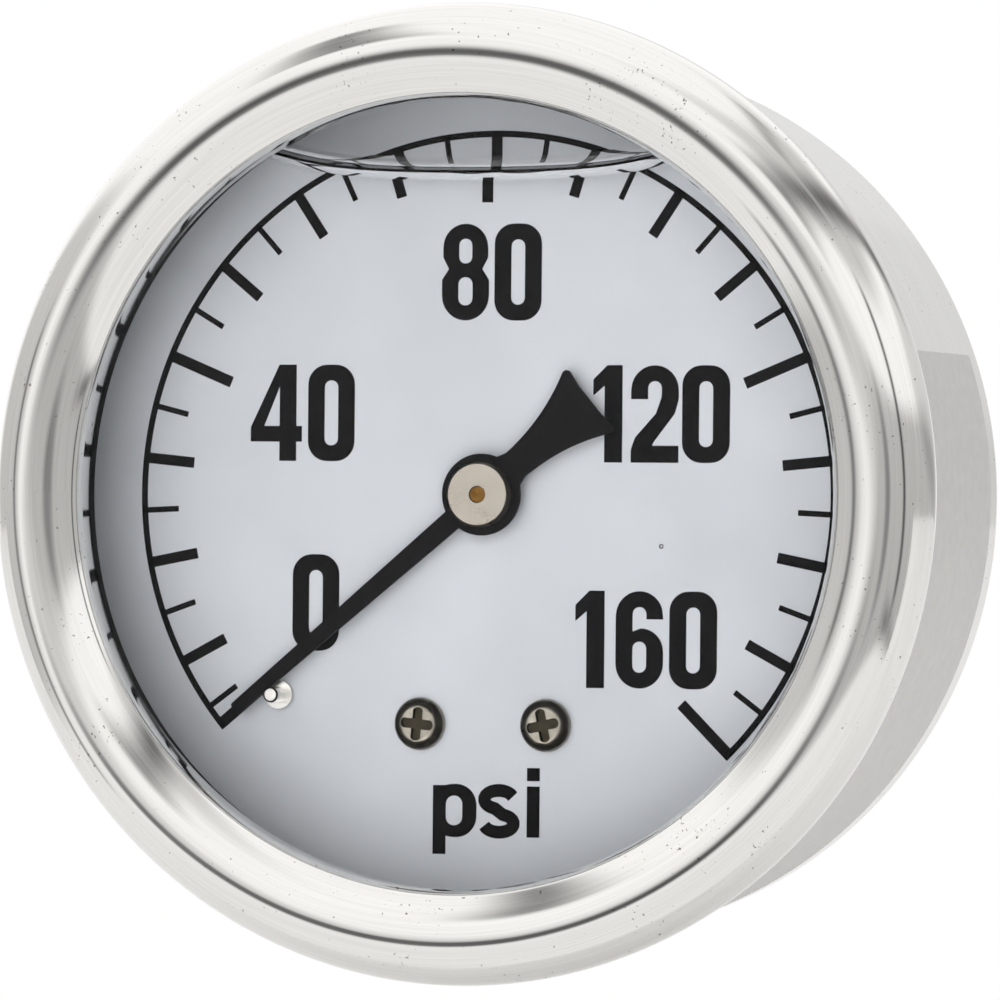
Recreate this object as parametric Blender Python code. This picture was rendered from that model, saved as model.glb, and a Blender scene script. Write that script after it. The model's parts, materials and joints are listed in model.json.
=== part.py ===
"""Liquid-filled pressure gauge: a crimped stainless case, a window, a dial and pointer, and the
Bourdon tube, link and toothed sector that turn the pointer, on a centre back pipe thread.

The origin is the middle of the stem's end face. The stem points along +Y, the dial faces -Y and
+Z is up, so 12 o'clock on the dial is +Z and 3 o'clock is +X. Angles are counted from 3 o'clock,
anticlockwise as the dial is read.
"""
import math

import bmesh
import bpy

MM = 0.001

# Clearances between pieces
SEAT = 0.06 * MM
RUNNING = 0.05 * MM
OPEN_PIVOT = 0.35 * MM

# Facets round a large and a small turned piece
LARGE_ROUND = 44
MIDDLE_ROUND = 28
SMALL_ROUND = 16
TINY_ROUND = 10
HALF_FACET = 180 / MIDDLE_ROUND
UPRIGHT_TURN = 7.0
SHARP_ANGLE = 35.0

# Case, gasket, window and bezel
CASE_RADIUS = 31.3 * MM
CASE_WALL = 0.8 * MM
CASE_DEPTH = 24.6 * MM
CASE_CORNER = 2.5 * MM
FLANGE_WIDTH = 0.65 * MM
GASKET_THICKNESS = 1.0 * MM
GASKET_WIDTH = 4.25 * MM
WINDOW_THICKNESS = 3.0 * MM
WINDOW_OPENING_RADIUS = 27.25 * MM
BEZEL_SHEET = 0.7 * MM
BEZEL_BULGE = 1.25 * MM
LIP_WIDTH = 0.2 * MM
LIP_THICKNESS = 0.4 * MM
CROWN_HEIGHT = 2.9 * MM
CROWN_SHARE = 0.478
WIDEST_DEPTH = 0.8 * MM

# Stem, hex and socket
THREAD_LENGTH = 14.0 * MM
THREAD_RADIUS = 6.86 * MM
THREAD_TAPER = 1 / 32
THREAD_CHAMFER = 0.7 * MM
RELIEF_LENGTH = 1.2 * MM
RELIEF_DEPTH = 0.7 * MM
HEX_FLATS = 14.0 * MM
HEX_LENGTH = 7.4 * MM
HEX_CHAMFER = 0.6 * MM
NECK_RIM = 0.3 * MM
NECK_PROUD = 0.6 * MM
SOCKET_FLANGE_RADIUS = 14.6 * MM
SOCKET_FLANGE_THICKNESS = 3.0 * MM
INLET_RADIUS = 2.4 * MM
INLET_DEPTH = 12.0 * MM
PASSAGE_RADIUS = 1.3 * MM
CROSS_BORE_RADIUS = 1.4 * MM
RESTRICTOR_LENGTH = 4.0 * MM
RESTRICTOR_HOLE_RADIUS = 0.3 * MM
SEAL_SECTION = 0.7 * MM
SEAL_RADIUS = 9.8 * MM
CASE_SCREW_REACH = 12.4 * MM
CASE_SCREW_ANGLE = 20.0
CASE_SCREW_RADIUS = 1.2 * MM
CASE_SCREW_HEAD_RADIUS = 2.1 * MM
CASE_SCREW_LENGTH = 3.0 * MM

# Dial, pointer and stop pin
LIQUID_GAP = 5.95 * MM
DIAL_THICKNESS = 0.5 * MM
DIAL_MARGIN = 0.6 * MM
DIAL_HOLE_RADIUS = 2.2 * MM
DIAL_SCREW_SPACING = 9.2 * MM
DIAL_SCREW_DROP = 16.0 * MM
DIAL_SCREW_RADIUS = 0.9 * MM
DIAL_SCREW_HEAD_RADIUS = 1.85 * MM
SCREW_HEAD_HEIGHT = 1.2 * MM
RECESS_WIDTH = 0.5 * MM
RECESS_DEPTH = 0.6 * MM
POST_RADIUS = 2.0 * MM
POST_HOLE_DEPTH = 4.0 * MM
ZERO_ANGLE = 220.0
FULL_ANGLE = -45.0
POINTER_LENGTH = 23.6 * MM
POINTER_ROOT_WIDTH = 1.45 * MM
POINTER_TIP_WIDTH = 0.9 * MM
POINTER_BOSS_RADIUS = 2.85 * MM
POINTER_TAIL_LENGTH = 10.4 * MM
POINTER_TAIL_WIDTH = 5.5 * MM
POINTER_NECK_WIDTH = 2.1 * MM
POINTER_FLARE_POWER = 2.2
POINTER_THICKNESS = 0.4 * MM
POINTER_LIFT = 1.05 * MM
HUB_RADIUS = 2.25 * MM
HUB_HEIGHT = 1.25 * MM
HUB_NECK_RADIUS = 1.3 * MM
STOP_PIN_REACH = 20.6 * MM
STOP_PIN_RADIUS = 0.55 * MM
STOP_PIN_HEIGHT = 3.0 * MM
STOP_PIN_FLANGE_RADIUS = 1.0 * MM
STOP_PIN_FLANGE_THICKNESS = 0.4 * MM
STOP_GAP = 0.1 * MM

# Movement plates, pillars and screws
MOVEMENT_GAP = 2.3 * MM
FRONT_PLATE_THICKNESS = 0.8 * MM
BACK_PLATE_THICKNESS = 1.0 * MM
PLATE_SPACING = 6.0 * MM
PLATE_RIM = 2.2 * MM
PILLAR_RADIUS = 1.1 * MM
PILLAR_SPIGOT_RADIUS = 0.7 * MM
PILLAR_RISE = 6.8 * MM
PLATE_SCREW_RADIUS = 0.5 * MM
PLATE_SCREW_HEAD_RADIUS = 1.0 * MM
PLATE_SCREW_HEAD_HEIGHT = 0.7 * MM
PLATE_SCREW_BITE = 2.0 * MM
LUG_OFFSET = 3.4 * MM
LUG_RISE = 5.2 * MM

# Pinion, sector, link and hairspring
MODULE = 0.2 * MM
PRESSURE_ANGLE = math.radians(20)
PINION_TEETH = 12
SECTOR_TEETH = 96
SPARE_TEETH = 2
TOOTH_SHIFT = 0.35
TOOTH_ADDENDUM = 0.9
TOOTH_DEDENDUM = 1.25
TOOTH_THINNING = 0.03 * MM
PINION_FACE = 3.0 * MM
PINION_SET_BACK = 2.0 * MM
SHAFT_RADIUS = 0.75 * MM
SHAFT_NOSE_RADIUS = 0.55 * MM
SHAFT_NOSE_RECESS = 0.25 * MM
SHAFT_PIVOT_RADIUS = 0.4 * MM
ARBOR_RADIUS = 0.9 * MM
ARBOR_PIVOT_RADIUS = 0.5 * MM
SECTOR_THICKNESS = 1.0 * MM
SECTOR_HUB_RADIUS = 2.2 * MM
SECTOR_RIM = 1.5 * MM
EYE_RADIUS = 1.1 * MM
LINK_THICKNESS = 0.6 * MM
LINK_PIN_RADIUS = 0.5 * MM
LINK_PIN_HEAD = 0.5 * MM
HAIRSPRING_TURNS = 3.5
HAIRSPRING_PITCH = 0.85 * MM
HAIRSPRING_STRIP = 0.2 * MM
HAIRSPRING_WIDTH = 0.6 * MM
HAIRSPRING_SET_BACK = 0.7 * MM
COLLET_WALL = 0.5 * MM
STUD_ANGLE = 30.0
STUD_RADIUS = 0.45 * MM
STUD_SPIGOT_RADIUS = 0.25 * MM

# Bourdon tube and its tip
TUBE_RADIUS = 22.5 * MM
TUBE_HALF_THICKNESS = 1.3 * MM
TUBE_HALF_WIDTH = 3.0 * MM
TUBE_WALL = 0.4 * MM
TUBE_BACK_GAP = 1.6 * MM
TUBE_TIP_ANGLE = 25.0
TUBE_BURIED_ANGLE = 266.0
TUBE_STEPS = 22
TUBE_SECTION_POINTS = 12
POCKET_RUN_OUT = 14.0
TIP_SPAN = 8.0
TIP_RIM = 0.6 * MM
EAR_THICKNESS = 0.8 * MM
EAR_DROP = 2.9 * MM
COLUMN_RIM = 0.8 * MM
COLUMN_FOOT = 2.2 * MM
COLUMN_TOP_RIM = 2.4 * MM
COLUMN_SINK = 1.6 * MM
COLUMN_BACK_GAP = 0.5 * MM

# Fill plug on the case at 12 o'clock
PLUG_RADIUS = 3.9 * MM
PLUG_RIM = 1.1 * MM
PLUG_HEIGHT = 1.9 * MM
PLUG_SET_BACK = 11.0 * MM

# Places along the gauge axis, from the stem's end towards the face
HEX_BACK = -THREAD_LENGTH
HEX_FRONT = HEX_BACK - HEX_LENGTH
CASE_BACK = HEX_FRONT - NECK_PROUD
CASE_FLOOR = CASE_BACK - CASE_WALL
SOCKET_SHOULDER = CASE_FLOOR - SEAT
FLANGE_FRONT = CASE_BACK - CASE_DEPTH
FLANGE_BACK = FLANGE_FRONT + CASE_WALL
GASKET_BACK = FLANGE_FRONT - SEAT
GASKET_FRONT = GASKET_BACK - GASKET_THICKNESS
WINDOW_BACK = GASKET_FRONT - SEAT
WINDOW_FRONT = WINDOW_BACK - WINDOW_THICKNESS
LIP_BACK = WINDOW_FRONT - SEAT
LIP_FRONT = LIP_BACK - LIP_THICKNESS
CROWN = LIP_FRONT - CROWN_HEIGHT
WIDEST = LIP_FRONT + WIDEST_DEPTH
DIAL_FRONT = WINDOW_BACK + LIQUID_GAP
DIAL_BACK = DIAL_FRONT + DIAL_THICKNESS
POINTER_BACK = DIAL_FRONT - POINTER_LIFT
POINTER_FRONT = POINTER_BACK - POINTER_THICKNESS
HUB_FRONT = POINTER_FRONT - SEAT - HUB_HEIGHT
PLATE_FRONT = DIAL_BACK + MOVEMENT_GAP
PLATE_INNER = PLATE_FRONT + FRONT_PLATE_THICKNESS
BACK_PLATE_FRONT = PLATE_INNER + PLATE_SPACING
BACK_PLATE_BACK = BACK_PLATE_FRONT + BACK_PLATE_THICKNESS
COLUMN_FRONT = BACK_PLATE_BACK + SEAT
PINION_FRONT = PLATE_INNER + PINION_SET_BACK
PINION_BACK = PINION_FRONT + PINION_FACE
SECTOR_FRONT = (PINION_FRONT + PINION_BACK - SECTOR_THICKNESS) / 2
SECTOR_BACK = SECTOR_FRONT + SECTOR_THICKNESS
LINK_FRONT = SECTOR_BACK + SEAT
LINK_BACK = LINK_FRONT + LINK_THICKNESS
EAR_FRONT = LINK_BACK + SEAT
EAR_BACK = EAR_FRONT + EAR_THICKNESS
HAIRSPRING_FRONT = PLATE_INNER + HAIRSPRING_SET_BACK
HAIRSPRING_BACK = HAIRSPRING_FRONT + HAIRSPRING_WIDTH
TUBE_PLANE = CASE_FLOOR - TUBE_BACK_GAP - TUBE_HALF_WIDTH
PLUG_PLANE = CASE_BACK - PLUG_SET_BACK

# Radii that follow from what fits inside what
CASE_BORE = CASE_RADIUS - CASE_WALL
FLANGE_RADIUS = CASE_RADIUS + FLANGE_WIDTH
SKIRT_BORE = FLANGE_RADIUS + RUNNING
SKIRT_RADIUS = SKIRT_BORE + BEZEL_SHEET
BEZEL_RADIUS = SKIRT_RADIUS + BEZEL_BULGE
LIP_RADIUS = WINDOW_OPENING_RADIUS + LIP_WIDTH
CROWN_RADIUS = LIP_RADIUS + CROWN_SHARE * (BEZEL_RADIUS - LIP_RADIUS)
WINDOW_RADIUS = FLANGE_RADIUS - RUNNING
HEX_CORNER = HEX_FLATS / 2 / math.cos(math.pi / 6)
NECK_RADIUS = HEX_CORNER + NECK_RIM
CASE_HOLE_RADIUS = NECK_RADIUS + RUNNING
COLLET_RADIUS = SHAFT_RADIUS + RUNNING + COLLET_WALL
HAIRSPRING_START = COLLET_RADIUS + HAIRSPRING_STRIP
HAIRSPRING_END = HAIRSPRING_START + HAIRSPRING_TURNS * HAIRSPRING_PITCH
STUD_REACH = HAIRSPRING_END + HAIRSPRING_STRIP / 2 + RUNNING + STUD_RADIUS

# Places across the dial, as (x, z)
POINTER_TRAVEL = ZERO_ANGLE - FULL_ANGLE
SECTOR_SWING = POINTER_TRAVEL * PINION_TEETH / SECTOR_TEETH
PINION_PITCH_RADIUS = MODULE * PINION_TEETH / 2
SECTOR_PITCH_RADIUS = MODULE * SECTOR_TEETH / 2


def polar(reach, angle, centre=(0.0, 0.0)):
    turn = math.radians(angle)
    return (centre[0] + reach * math.cos(turn), centre[1] + reach * math.sin(turn))


AXIS = (0.0, 0.0)
ARBOR = (PINION_PITCH_RADIUS + SECTOR_PITCH_RADIUS, 0.0)
TIP_INNER_REACH = TUBE_RADIUS - TUBE_HALF_THICKNESS - TIP_RIM
TIP_PIN = polar(TIP_INNER_REACH - EAR_DROP, TUBE_TIP_ANGLE - TIP_SPAN / 2)
TAIL_LENGTH = (TIP_PIN[0] - ARBOR[0]) / math.cos(math.radians(SECTOR_SWING / 2))
TAIL_PIN = polar(TAIL_LENGTH, -SECTOR_SWING / 2, ARBOR)
PILLARS = {
    "pillar_left": (-(STUD_REACH + STUD_RADIUS + PILLAR_RADIUS), 0.0),
    "pillar_upper": (ARBOR[0], PILLAR_RISE),
    "pillar_lower": (ARBOR[0], -PILLAR_RISE),
}
LUGS = {
    "movement_screw_upper": (-LUG_OFFSET, LUG_RISE),
    "movement_screw_lower": (-LUG_OFFSET, -LUG_RISE),
}
DIAL_SCREWS = {
    "left": (-DIAL_SCREW_SPACING / 2, -DIAL_SCREW_DROP),
    "right": (DIAL_SCREW_SPACING / 2, -DIAL_SCREW_DROP),
}
CASE_SCREWS = {
    "case_screw_left": polar(CASE_SCREW_REACH, 180 + CASE_SCREW_ANGLE),
    "case_screw_right": polar(CASE_SCREW_REACH, CASE_SCREW_ANGLE),
}
STUD = polar(STUD_REACH, STUD_ANGLE)

# The socket's column holds the dial posts and the root of the tube
COLUMN_HALF_WIDTH = DIAL_SCREW_SPACING / 2 + POST_RADIUS + COLUMN_RIM
COLUMN_BOTTOM = -(TUBE_RADIUS + TUBE_HALF_THICKNESS + COLUMN_FOOT)
COLUMN_TOP = LUG_RISE + COLUMN_TOP_RIM
TUBE_ROOT_ANGLE = 360 - math.degrees(math.acos(-COLUMN_HALF_WIDTH / TUBE_RADIUS))
TUBE_STEP = (TUBE_BURIED_ANGLE - TUBE_TIP_ANGLE) / TUBE_STEPS
TUBE_ANGLES = [TUBE_BURIED_ANGLE - TUBE_STEP * step for step in range(TUBE_STEPS + 1)]

# A tube that bends evenly swings its tip about the middle of its own arc
TUBE_HALF_SPAN = (TUBE_ROOT_ANGLE - TUBE_TIP_ANGLE) / 2
TUBE_CENTROID = polar(
    TUBE_RADIUS * math.sin(math.radians(TUBE_HALF_SPAN)) / math.radians(TUBE_HALF_SPAN),
    TUBE_TIP_ANGLE + TUBE_HALF_SPAN,
)


def clear_scene():
    for item in list(bpy.data.objects):
        bpy.data.objects.remove(item, do_unlink=True)


def finish(name, colour, roughness, metallic):
    material = bpy.data.materials.new(name)
    material.use_nodes = True
    shader = material.node_tree.nodes["Principled BSDF"]
    shader.inputs["Base Color"].default_value = (*colour, 1.0)
    shader.inputs["Roughness"].default_value = roughness
    shader.inputs["Metallic"].default_value = metallic
    return material


def axis_marker(name, place):
    marker = bpy.data.objects.new(name, None)
    marker.empty_display_size = CASE_WALL
    marker.location = (place[0], 0.0, place[1])
    bpy.context.scene.collection.objects.link(marker)
    return marker


def add_piece(name, shape, material, carrier=None):
    """Turn a bmesh in world places into an object, hung on its joint's axis where it moves."""
    bmesh.ops.recalc_face_normals(shape, faces=shape.faces)
    if carrier:
        bmesh.ops.translate(shape, verts=shape.verts, vec=-carrier.location)
    mesh = bpy.data.meshes.new(name)
    shape.to_mesh(mesh)
    shape.free()
    mesh.shade_smooth()
    mesh.set_sharp_from_angle(angle=math.radians(SHARP_ANGLE))
    mesh.materials.append(material)
    piece = bpy.data.objects.new(name, mesh)
    piece.parent = carrier
    bpy.context.scene.collection.objects.link(piece)
    return piece


def make_cutter(piece):
    piece.hide_render = True
    piece.display_type = "WIRE"
    return piece


def combine(piece, tool, operation):
    step = piece.modifiers.new(tool.name, "BOOLEAN")
    step.operation = operation
    step.object = make_cutter(tool)


def arc(reach, start, end, steps, centre=AXIS):
    span = (end - start) / steps
    return [polar(reach, start + span * step, centre) for step in range(steps + 1)]


def circle(reach, centre=AXIS, steps=SMALL_ROUND, phase=0.0):
    return arc(reach, phase, phase + 360, steps, centre)[:-1]


def hull(points):
    """The convex outline round some points, anticlockwise."""
    def half(ordered):
        chain = []
        for x, z in ordered:
            while len(chain) > 1:
                (ax, az), (bx, bz) = chain[-2:]
                if (bx - ax) * (z - az) - (bz - az) * (x - ax) > 0:
                    break
                chain.pop()
            chain.append((x, z))
        return chain[:-1]

    ordered = sorted(set(points))
    return half(ordered) + half(ordered[::-1])


def plate_shape(outline, holes, front, back):
    shape = bmesh.new()
    edges = []
    for loop in [outline, *holes]:
        corners = [shape.verts.new((x, front, z)) for x, z in loop]
        for corner, following in zip(corners, corners[1:] + corners[:1]):
            edges.append(shape.edges.new((corner, following)))
    bmesh.ops.triangle_fill(shape, use_beauty=True, use_dissolve=False, edges=edges)
    raised = bmesh.ops.extrude_face_region(shape, geom=shape.faces[:])
    moved = [item for item in raised["geom"] if isinstance(item, bmesh.types.BMVert)]
    bmesh.ops.translate(shape, verts=moved, vec=(0, back - front, 0))
    return shape


def plate(name, outline, holes, front, back, material, carrier=None):
    return add_piece(name, plate_shape(outline, holes, front, back), material, carrier)


def turned_shape(profile, centre, steps, phase=0.0):
    """Turn a closed (radius, y) profile about an axis along Y. A radius of nought is a pole."""
    shape = bmesh.new()
    rings = []
    for radius, y in profile:
        places = circle(radius, centre, steps, phase) if radius > 0 else [centre]
        rings.append([shape.verts.new((x, y, z)) for x, z in places])
    for ring, following in zip(rings, rings[1:] + rings[:1]):
        for step in range(steps):
            ahead = (step + 1) % steps
            if len(ring) > 1 and len(following) > 1:
                shape.faces.new((ring[step], ring[ahead], following[ahead], following[step]))
            elif len(ring) > 1:
                shape.faces.new((ring[step], ring[ahead], following[0]))
            elif len(following) > 1:
                shape.faces.new((ring[0], following[ahead], following[step]))
    return shape


def turned(name, profile, material, centre=AXIS, steps=SMALL_ROUND, carrier=None):
    return add_piece(name, turned_shape(profile, centre, steps), material, carrier)


def rod(name, radius, front, back, material, centre=AXIS, steps=SMALL_ROUND, carrier=None):
    profile = [(0, front), (radius, front), (radius, back), (0, back)]
    return turned(name, profile, material, centre, steps, carrier)


def bow(centre, semi_radius, semi_depth, start, end, steps):
    """Points of an ellipse in a turned profile, counted from outwards (0) round to the back (90)."""
    points = []
    for step in range(steps + 1):
        turn = math.radians(start + (end - start) * step / steps)
        points.append((centre[0] + semi_radius * math.cos(turn), centre[1] + semi_depth * math.sin(turn)))
    return points


def screw(name, centre, head_radius, head_height, radius, seat, tip, material, steps, cross, carrier=None):
    """A pan-head screw whose head stands on the seat and whose shank runs to the tip."""
    out = 1 if tip < seat else -1
    top = seat + out * head_height
    profile = [(0, top), (head_radius * 0.6, top), (head_radius, top - out * head_height * 0.5)]
    profile += [(head_radius, seat), (radius, seat), (radius, tip), (0, tip)]
    piece = turned(name, profile, material, centre, steps, carrier)
    long_half = head_radius * 0.62
    bars = [(long_half, RECESS_WIDTH / 2)]
    if cross:
        bars.append((RECESS_WIDTH / 2, long_half))
    for number, (half_x, half_z) in enumerate(bars):
        outline = [
            (centre[0] + side_x * half_x, centre[1] + side_z * half_z)
            for side_x, side_z in [(-1, -1), (1, -1), (1, 1), (-1, 1)]
        ]
        floor = top - out * min(RECESS_DEPTH, head_height * 0.6)
        proud = top + out * head_height
        tool = plate(f"{name}_recess_{number}", outline, [], min(floor, proud), max(floor, proud), material)
        combine(piece, tool, "DIFFERENCE")
    return piece


def tooth_half_angle(teeth, shift, reach):
    """Half the angle that an involute tooth fills at some distance from its centre, in radians."""
    pitch_radius = MODULE * teeth / 2
    base_radius = pitch_radius * math.cos(PRESSURE_ANGLE)
    lean = math.acos(min(1.0, base_radius / max(reach, base_radius)))
    at_pitch = math.pi / (2 * teeth) + 2 * shift * math.tan(PRESSURE_ANGLE) / teeth
    at_pitch -= TOOTH_THINNING / (2 * pitch_radius)
    return at_pitch + math.tan(PRESSURE_ANGLE) - PRESSURE_ANGLE - (math.tan(lean) - lean)


def toothed_arc(teeth, shift, first_angle, count, centre):
    """The outline of a run of teeth, anticlockwise, with the first tooth's middle at an angle."""
    pitch_radius = MODULE * teeth / 2
    root = pitch_radius - MODULE * (TOOTH_DEDENDUM - shift)
    tip = pitch_radius + MODULE * (TOOTH_ADDENDUM + shift)
    reaches = [root + (tip - root) * share for share in (0, 0.5, 1)]
    points = []
    for number in range(count):
        middle = first_angle + number * 360 / teeth
        flank = [(reach, math.degrees(tooth_half_angle(teeth, shift, reach))) for reach in reaches]
        points += [polar(reach, middle - half, centre) for reach, half in flank]
        points += [polar(reach, middle + half, centre) for reach, half in flank[::-1]]
    return points


def oval(half_thickness, half_width, steps):
    """A flattened section as (outwards, along the axis) with round edges."""
    straight = half_width - half_thickness
    points = []
    for side in (1, -1):
        for step in range(steps // 2):
            turn = math.pi * step / (steps // 2 - 1)
            along = straight + half_thickness * math.sin(turn)
            points.append((side * half_thickness * math.cos(turn), side * along))
    return points


def swept_shape(sections, angles):
    """Carry oval sections, outer first, along the tube's arc. A second section is the bore."""
    shape = bmesh.new()
    stations = []
    for angle in angles:
        loops = []
        for section in sections:
            ring = []
            for outwards, along in section:
                x, z = polar(TUBE_RADIUS + outwards, angle)
                ring.append(shape.verts.new((x, TUBE_PLANE + along, z)))
            loops.append(ring)
        stations.append(loops)
    for loops, following in zip(stations, stations[1:]):
        for ring, ahead in zip(loops, following):
            for a in range(len(ring)):
                b = (a + 1) % len(ring)
                shape.faces.new((ring[a], ring[b], ahead[b], ahead[a]))
    for loops in (stations[0], stations[-1]):
        if len(loops) == 1:
            shape.faces.new(loops[0])
            continue
        outer, inner = loops
        for a in range(len(outer)):
            b = (a + 1) % len(outer)
            shape.faces.new((outer[a], outer[b], inner[b], inner[a]))
    return shape


def build_case(steel):
    inner_corner = max(CASE_CORNER - CASE_WALL, CASE_WALL)
    outside = bow((CASE_RADIUS - CASE_CORNER, CASE_BACK - CASE_CORNER), CASE_CORNER, CASE_CORNER, 90, 0, 4)
    inside = bow((CASE_BORE - inner_corner, CASE_FLOOR - inner_corner), inner_corner, inner_corner, 0, 90, 3)
    profile = [(CASE_HOLE_RADIUS, CASE_BACK), *outside, (CASE_RADIUS, FLANGE_BACK)]
    profile += [(FLANGE_RADIUS, FLANGE_BACK), (FLANGE_RADIUS, FLANGE_FRONT), (CASE_BORE, FLANGE_FRONT)]
    profile += [*inside, (CASE_HOLE_RADIUS, CASE_FLOOR)]
    case = turned("case", profile, steel, steps=LARGE_ROUND)
    for name, place in CASE_SCREWS.items():
        radius = CASE_SCREW_RADIUS + RUNNING
        hole = rod(f"{name}_hole", radius, CASE_FLOOR - SEAT, CASE_BACK + SEAT, steel, place)
        combine(case, hole, "DIFFERENCE")
    radius = PLUG_RADIUS + RUNNING
    bore = rod("fill_hole", radius, -CASE_RADIUS - PLUG_HEIGHT, -CASE_BORE + PLUG_HEIGHT, steel)
    stand_upright(bore, PLUG_PLANE)
    combine(case, bore, "DIFFERENCE")
    return case


def stand_upright(piece, plane):
    """Turn a piece made along Y so that its front points up, in a plane across the gauge axis."""
    piece.rotation_euler = (math.radians(-90), 0, math.radians(UPRIGHT_TURN))
    piece.location = (0, plane, 0)


def build_fill_plug(rubber):
    crest = -(CASE_RADIUS + SEAT + PLUG_HEIGHT)
    shoulder = -(CASE_RADIUS + SEAT)
    rim = PLUG_RADIUS + PLUG_RIM
    barb = PLUG_RADIUS + PLUG_RIM / 2
    under_wall = -(math.sqrt(CASE_BORE ** 2 - barb ** 2) - SEAT)
    tail = under_wall + 2 * CASE_WALL
    profile = [(0, crest), *bow((rim - PLUG_HEIGHT / 2, shoulder - PLUG_HEIGHT / 2), PLUG_HEIGHT / 2,
                                PLUG_HEIGHT / 2, -90, 0, 3)]
    profile += [(rim, shoulder), (PLUG_RADIUS, shoulder), (PLUG_RADIUS, under_wall), (barb, under_wall)]
    profile += [(PLUG_RADIUS, tail), (0, tail)]
    stand_upright(turned("fill_plug", profile, rubber), PLUG_PLANE)


def build_bezel(steel):
    lip_start = (WINDOW_OPENING_RADIUS, LIP_BACK)
    outer_semi = BEZEL_RADIUS - CROWN_RADIUS
    crown_semi = WIDEST - CROWN
    inner_flank = bow((CROWN_RADIUS, LIP_FRONT), CROWN_RADIUS - LIP_RADIUS, CROWN_HEIGHT, 180, 270, 4)
    outer_flank = bow((CROWN_RADIUS, WIDEST), outer_semi, crown_semi, -90, 0, 5)[1:]
    tuck = math.degrees(math.acos((SKIRT_RADIUS - CROWN_RADIUS) / outer_semi))
    bead_back = bow((CROWN_RADIUS, WIDEST), outer_semi, outer_semi, 0, tuck, 3)[1:]
    hook_front = FLANGE_BACK + SEAT
    hook_back = hook_front + BEZEL_SHEET
    hook_bore = CASE_RADIUS + RUNNING
    skirt = [(SKIRT_RADIUS, hook_front), (SKIRT_RADIUS - BEZEL_SHEET / 2, hook_back), (hook_bore, hook_back)]
    skirt += [(hook_bore, hook_front), (SKIRT_BORE, hook_front)]
    hollow_semi = outer_semi - BEZEL_SHEET
    hollow_tuck = math.degrees(math.acos((SKIRT_BORE - CROWN_RADIUS) / hollow_semi))
    hollow_back = bow((CROWN_RADIUS, WIDEST), hollow_semi, hollow_semi, hollow_tuck, 0, 2)
    hollow_front = bow((CROWN_RADIUS, WIDEST), hollow_semi, crown_semi - BEZEL_SHEET, 0, -90, 2)[1:]
    hollow_flank = CROWN_RADIUS - LIP_RADIUS - BEZEL_SHEET
    hollow_inner = bow((CROWN_RADIUS, LIP_FRONT), hollow_flank, CROWN_HEIGHT - BEZEL_SHEET, 270, 180, 2)[1:]
    hollow_foot = [(CROWN_RADIUS - hollow_flank, LIP_BACK)]
    profile = [lip_start, (WINDOW_OPENING_RADIUS, LIP_FRONT), *inner_flank, *outer_flank, *bead_back]
    profile += [*skirt, *hollow_back, *hollow_front, *hollow_inner, *hollow_foot]
    turned("bezel_ring", profile, steel, steps=LARGE_ROUND)


def build_window_and_gasket(clear, rubber):
    edge = WINDOW_THICKNESS / 8
    profile = [(0, WINDOW_FRONT), (WINDOW_RADIUS - edge, WINDOW_FRONT), (WINDOW_RADIUS, WINDOW_FRONT + edge)]
    profile += [(WINDOW_RADIUS, WINDOW_BACK), (0, WINDOW_BACK)]
    turned("window", profile, clear, steps=LARGE_ROUND)
    inside = WINDOW_RADIUS - GASKET_WIDTH
    profile = [(inside, GASKET_FRONT), (WINDOW_RADIUS, GASKET_FRONT)]
    profile += [(WINDOW_RADIUS, GASKET_BACK), (inside, GASKET_BACK)]
    turned("window_gasket", profile, rubber, steps=LARGE_ROUND)


def stop_pin_place():
    """The pin stands just past zero, where the pointer's edge comes to rest on it."""
    share = STOP_PIN_REACH / POINTER_LENGTH
    half_width = (POINTER_ROOT_WIDTH + (POINTER_TIP_WIDTH - POINTER_ROOT_WIDTH) * share) / 2
    offset = half_width + STOP_PIN_RADIUS + STOP_GAP
    return polar(STOP_PIN_REACH, ZERO_ANGLE + math.degrees(math.asin(offset / STOP_PIN_REACH)))


def build_dial(white, metals):
    holes = [circle(DIAL_HOLE_RADIUS), circle(STOP_PIN_RADIUS + RUNNING, stop_pin_place())]
    holes += [circle(DIAL_SCREW_RADIUS + RUNNING, place) for place in DIAL_SCREWS.values()]
    plate("dial", circle(CASE_BORE - DIAL_MARGIN, steps=LARGE_ROUND), holes, DIAL_FRONT, DIAL_BACK, white)
    shoulder = DIAL_FRONT - SEAT
    pin_top = DIAL_FRONT - STOP_PIN_HEIGHT
    flange_front = shoulder - STOP_PIN_FLANGE_THICKNESS
    profile = [(0, pin_top), (STOP_PIN_RADIUS, pin_top), (STOP_PIN_RADIUS, flange_front)]
    profile += [(STOP_PIN_FLANGE_RADIUS, flange_front), (STOP_PIN_FLANGE_RADIUS, shoulder)]
    profile += [(STOP_PIN_RADIUS, shoulder), (STOP_PIN_RADIUS, DIAL_BACK + DIAL_THICKNESS)]
    profile += [(0, DIAL_BACK + DIAL_THICKNESS)]
    turned("stop_pin", profile, metals["nickel"], stop_pin_place(), TINY_ROUND)
    post_front = DIAL_BACK + SEAT
    post_back = COLUMN_FRONT - SEAT
    hole_radius = DIAL_SCREW_RADIUS + RUNNING
    for side, place in DIAL_SCREWS.items():
        hole_end = post_front + POST_HOLE_DEPTH
        profile = [(hole_radius, post_front), (POST_RADIUS, post_front), (POST_RADIUS, post_back)]
        profile += [(0, post_back), (0, hole_end), (hole_radius, hole_end)]
        turned(f"dial_post_{side}", profile, metals["brass"], place)
        screw(f"dial_screw_{side}", place, DIAL_SCREW_HEAD_RADIUS, SCREW_HEAD_HEIGHT, DIAL_SCREW_RADIUS,
              shoulder, hole_end - SEAT, metals["nickel"], SMALL_ROUND, True)


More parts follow.
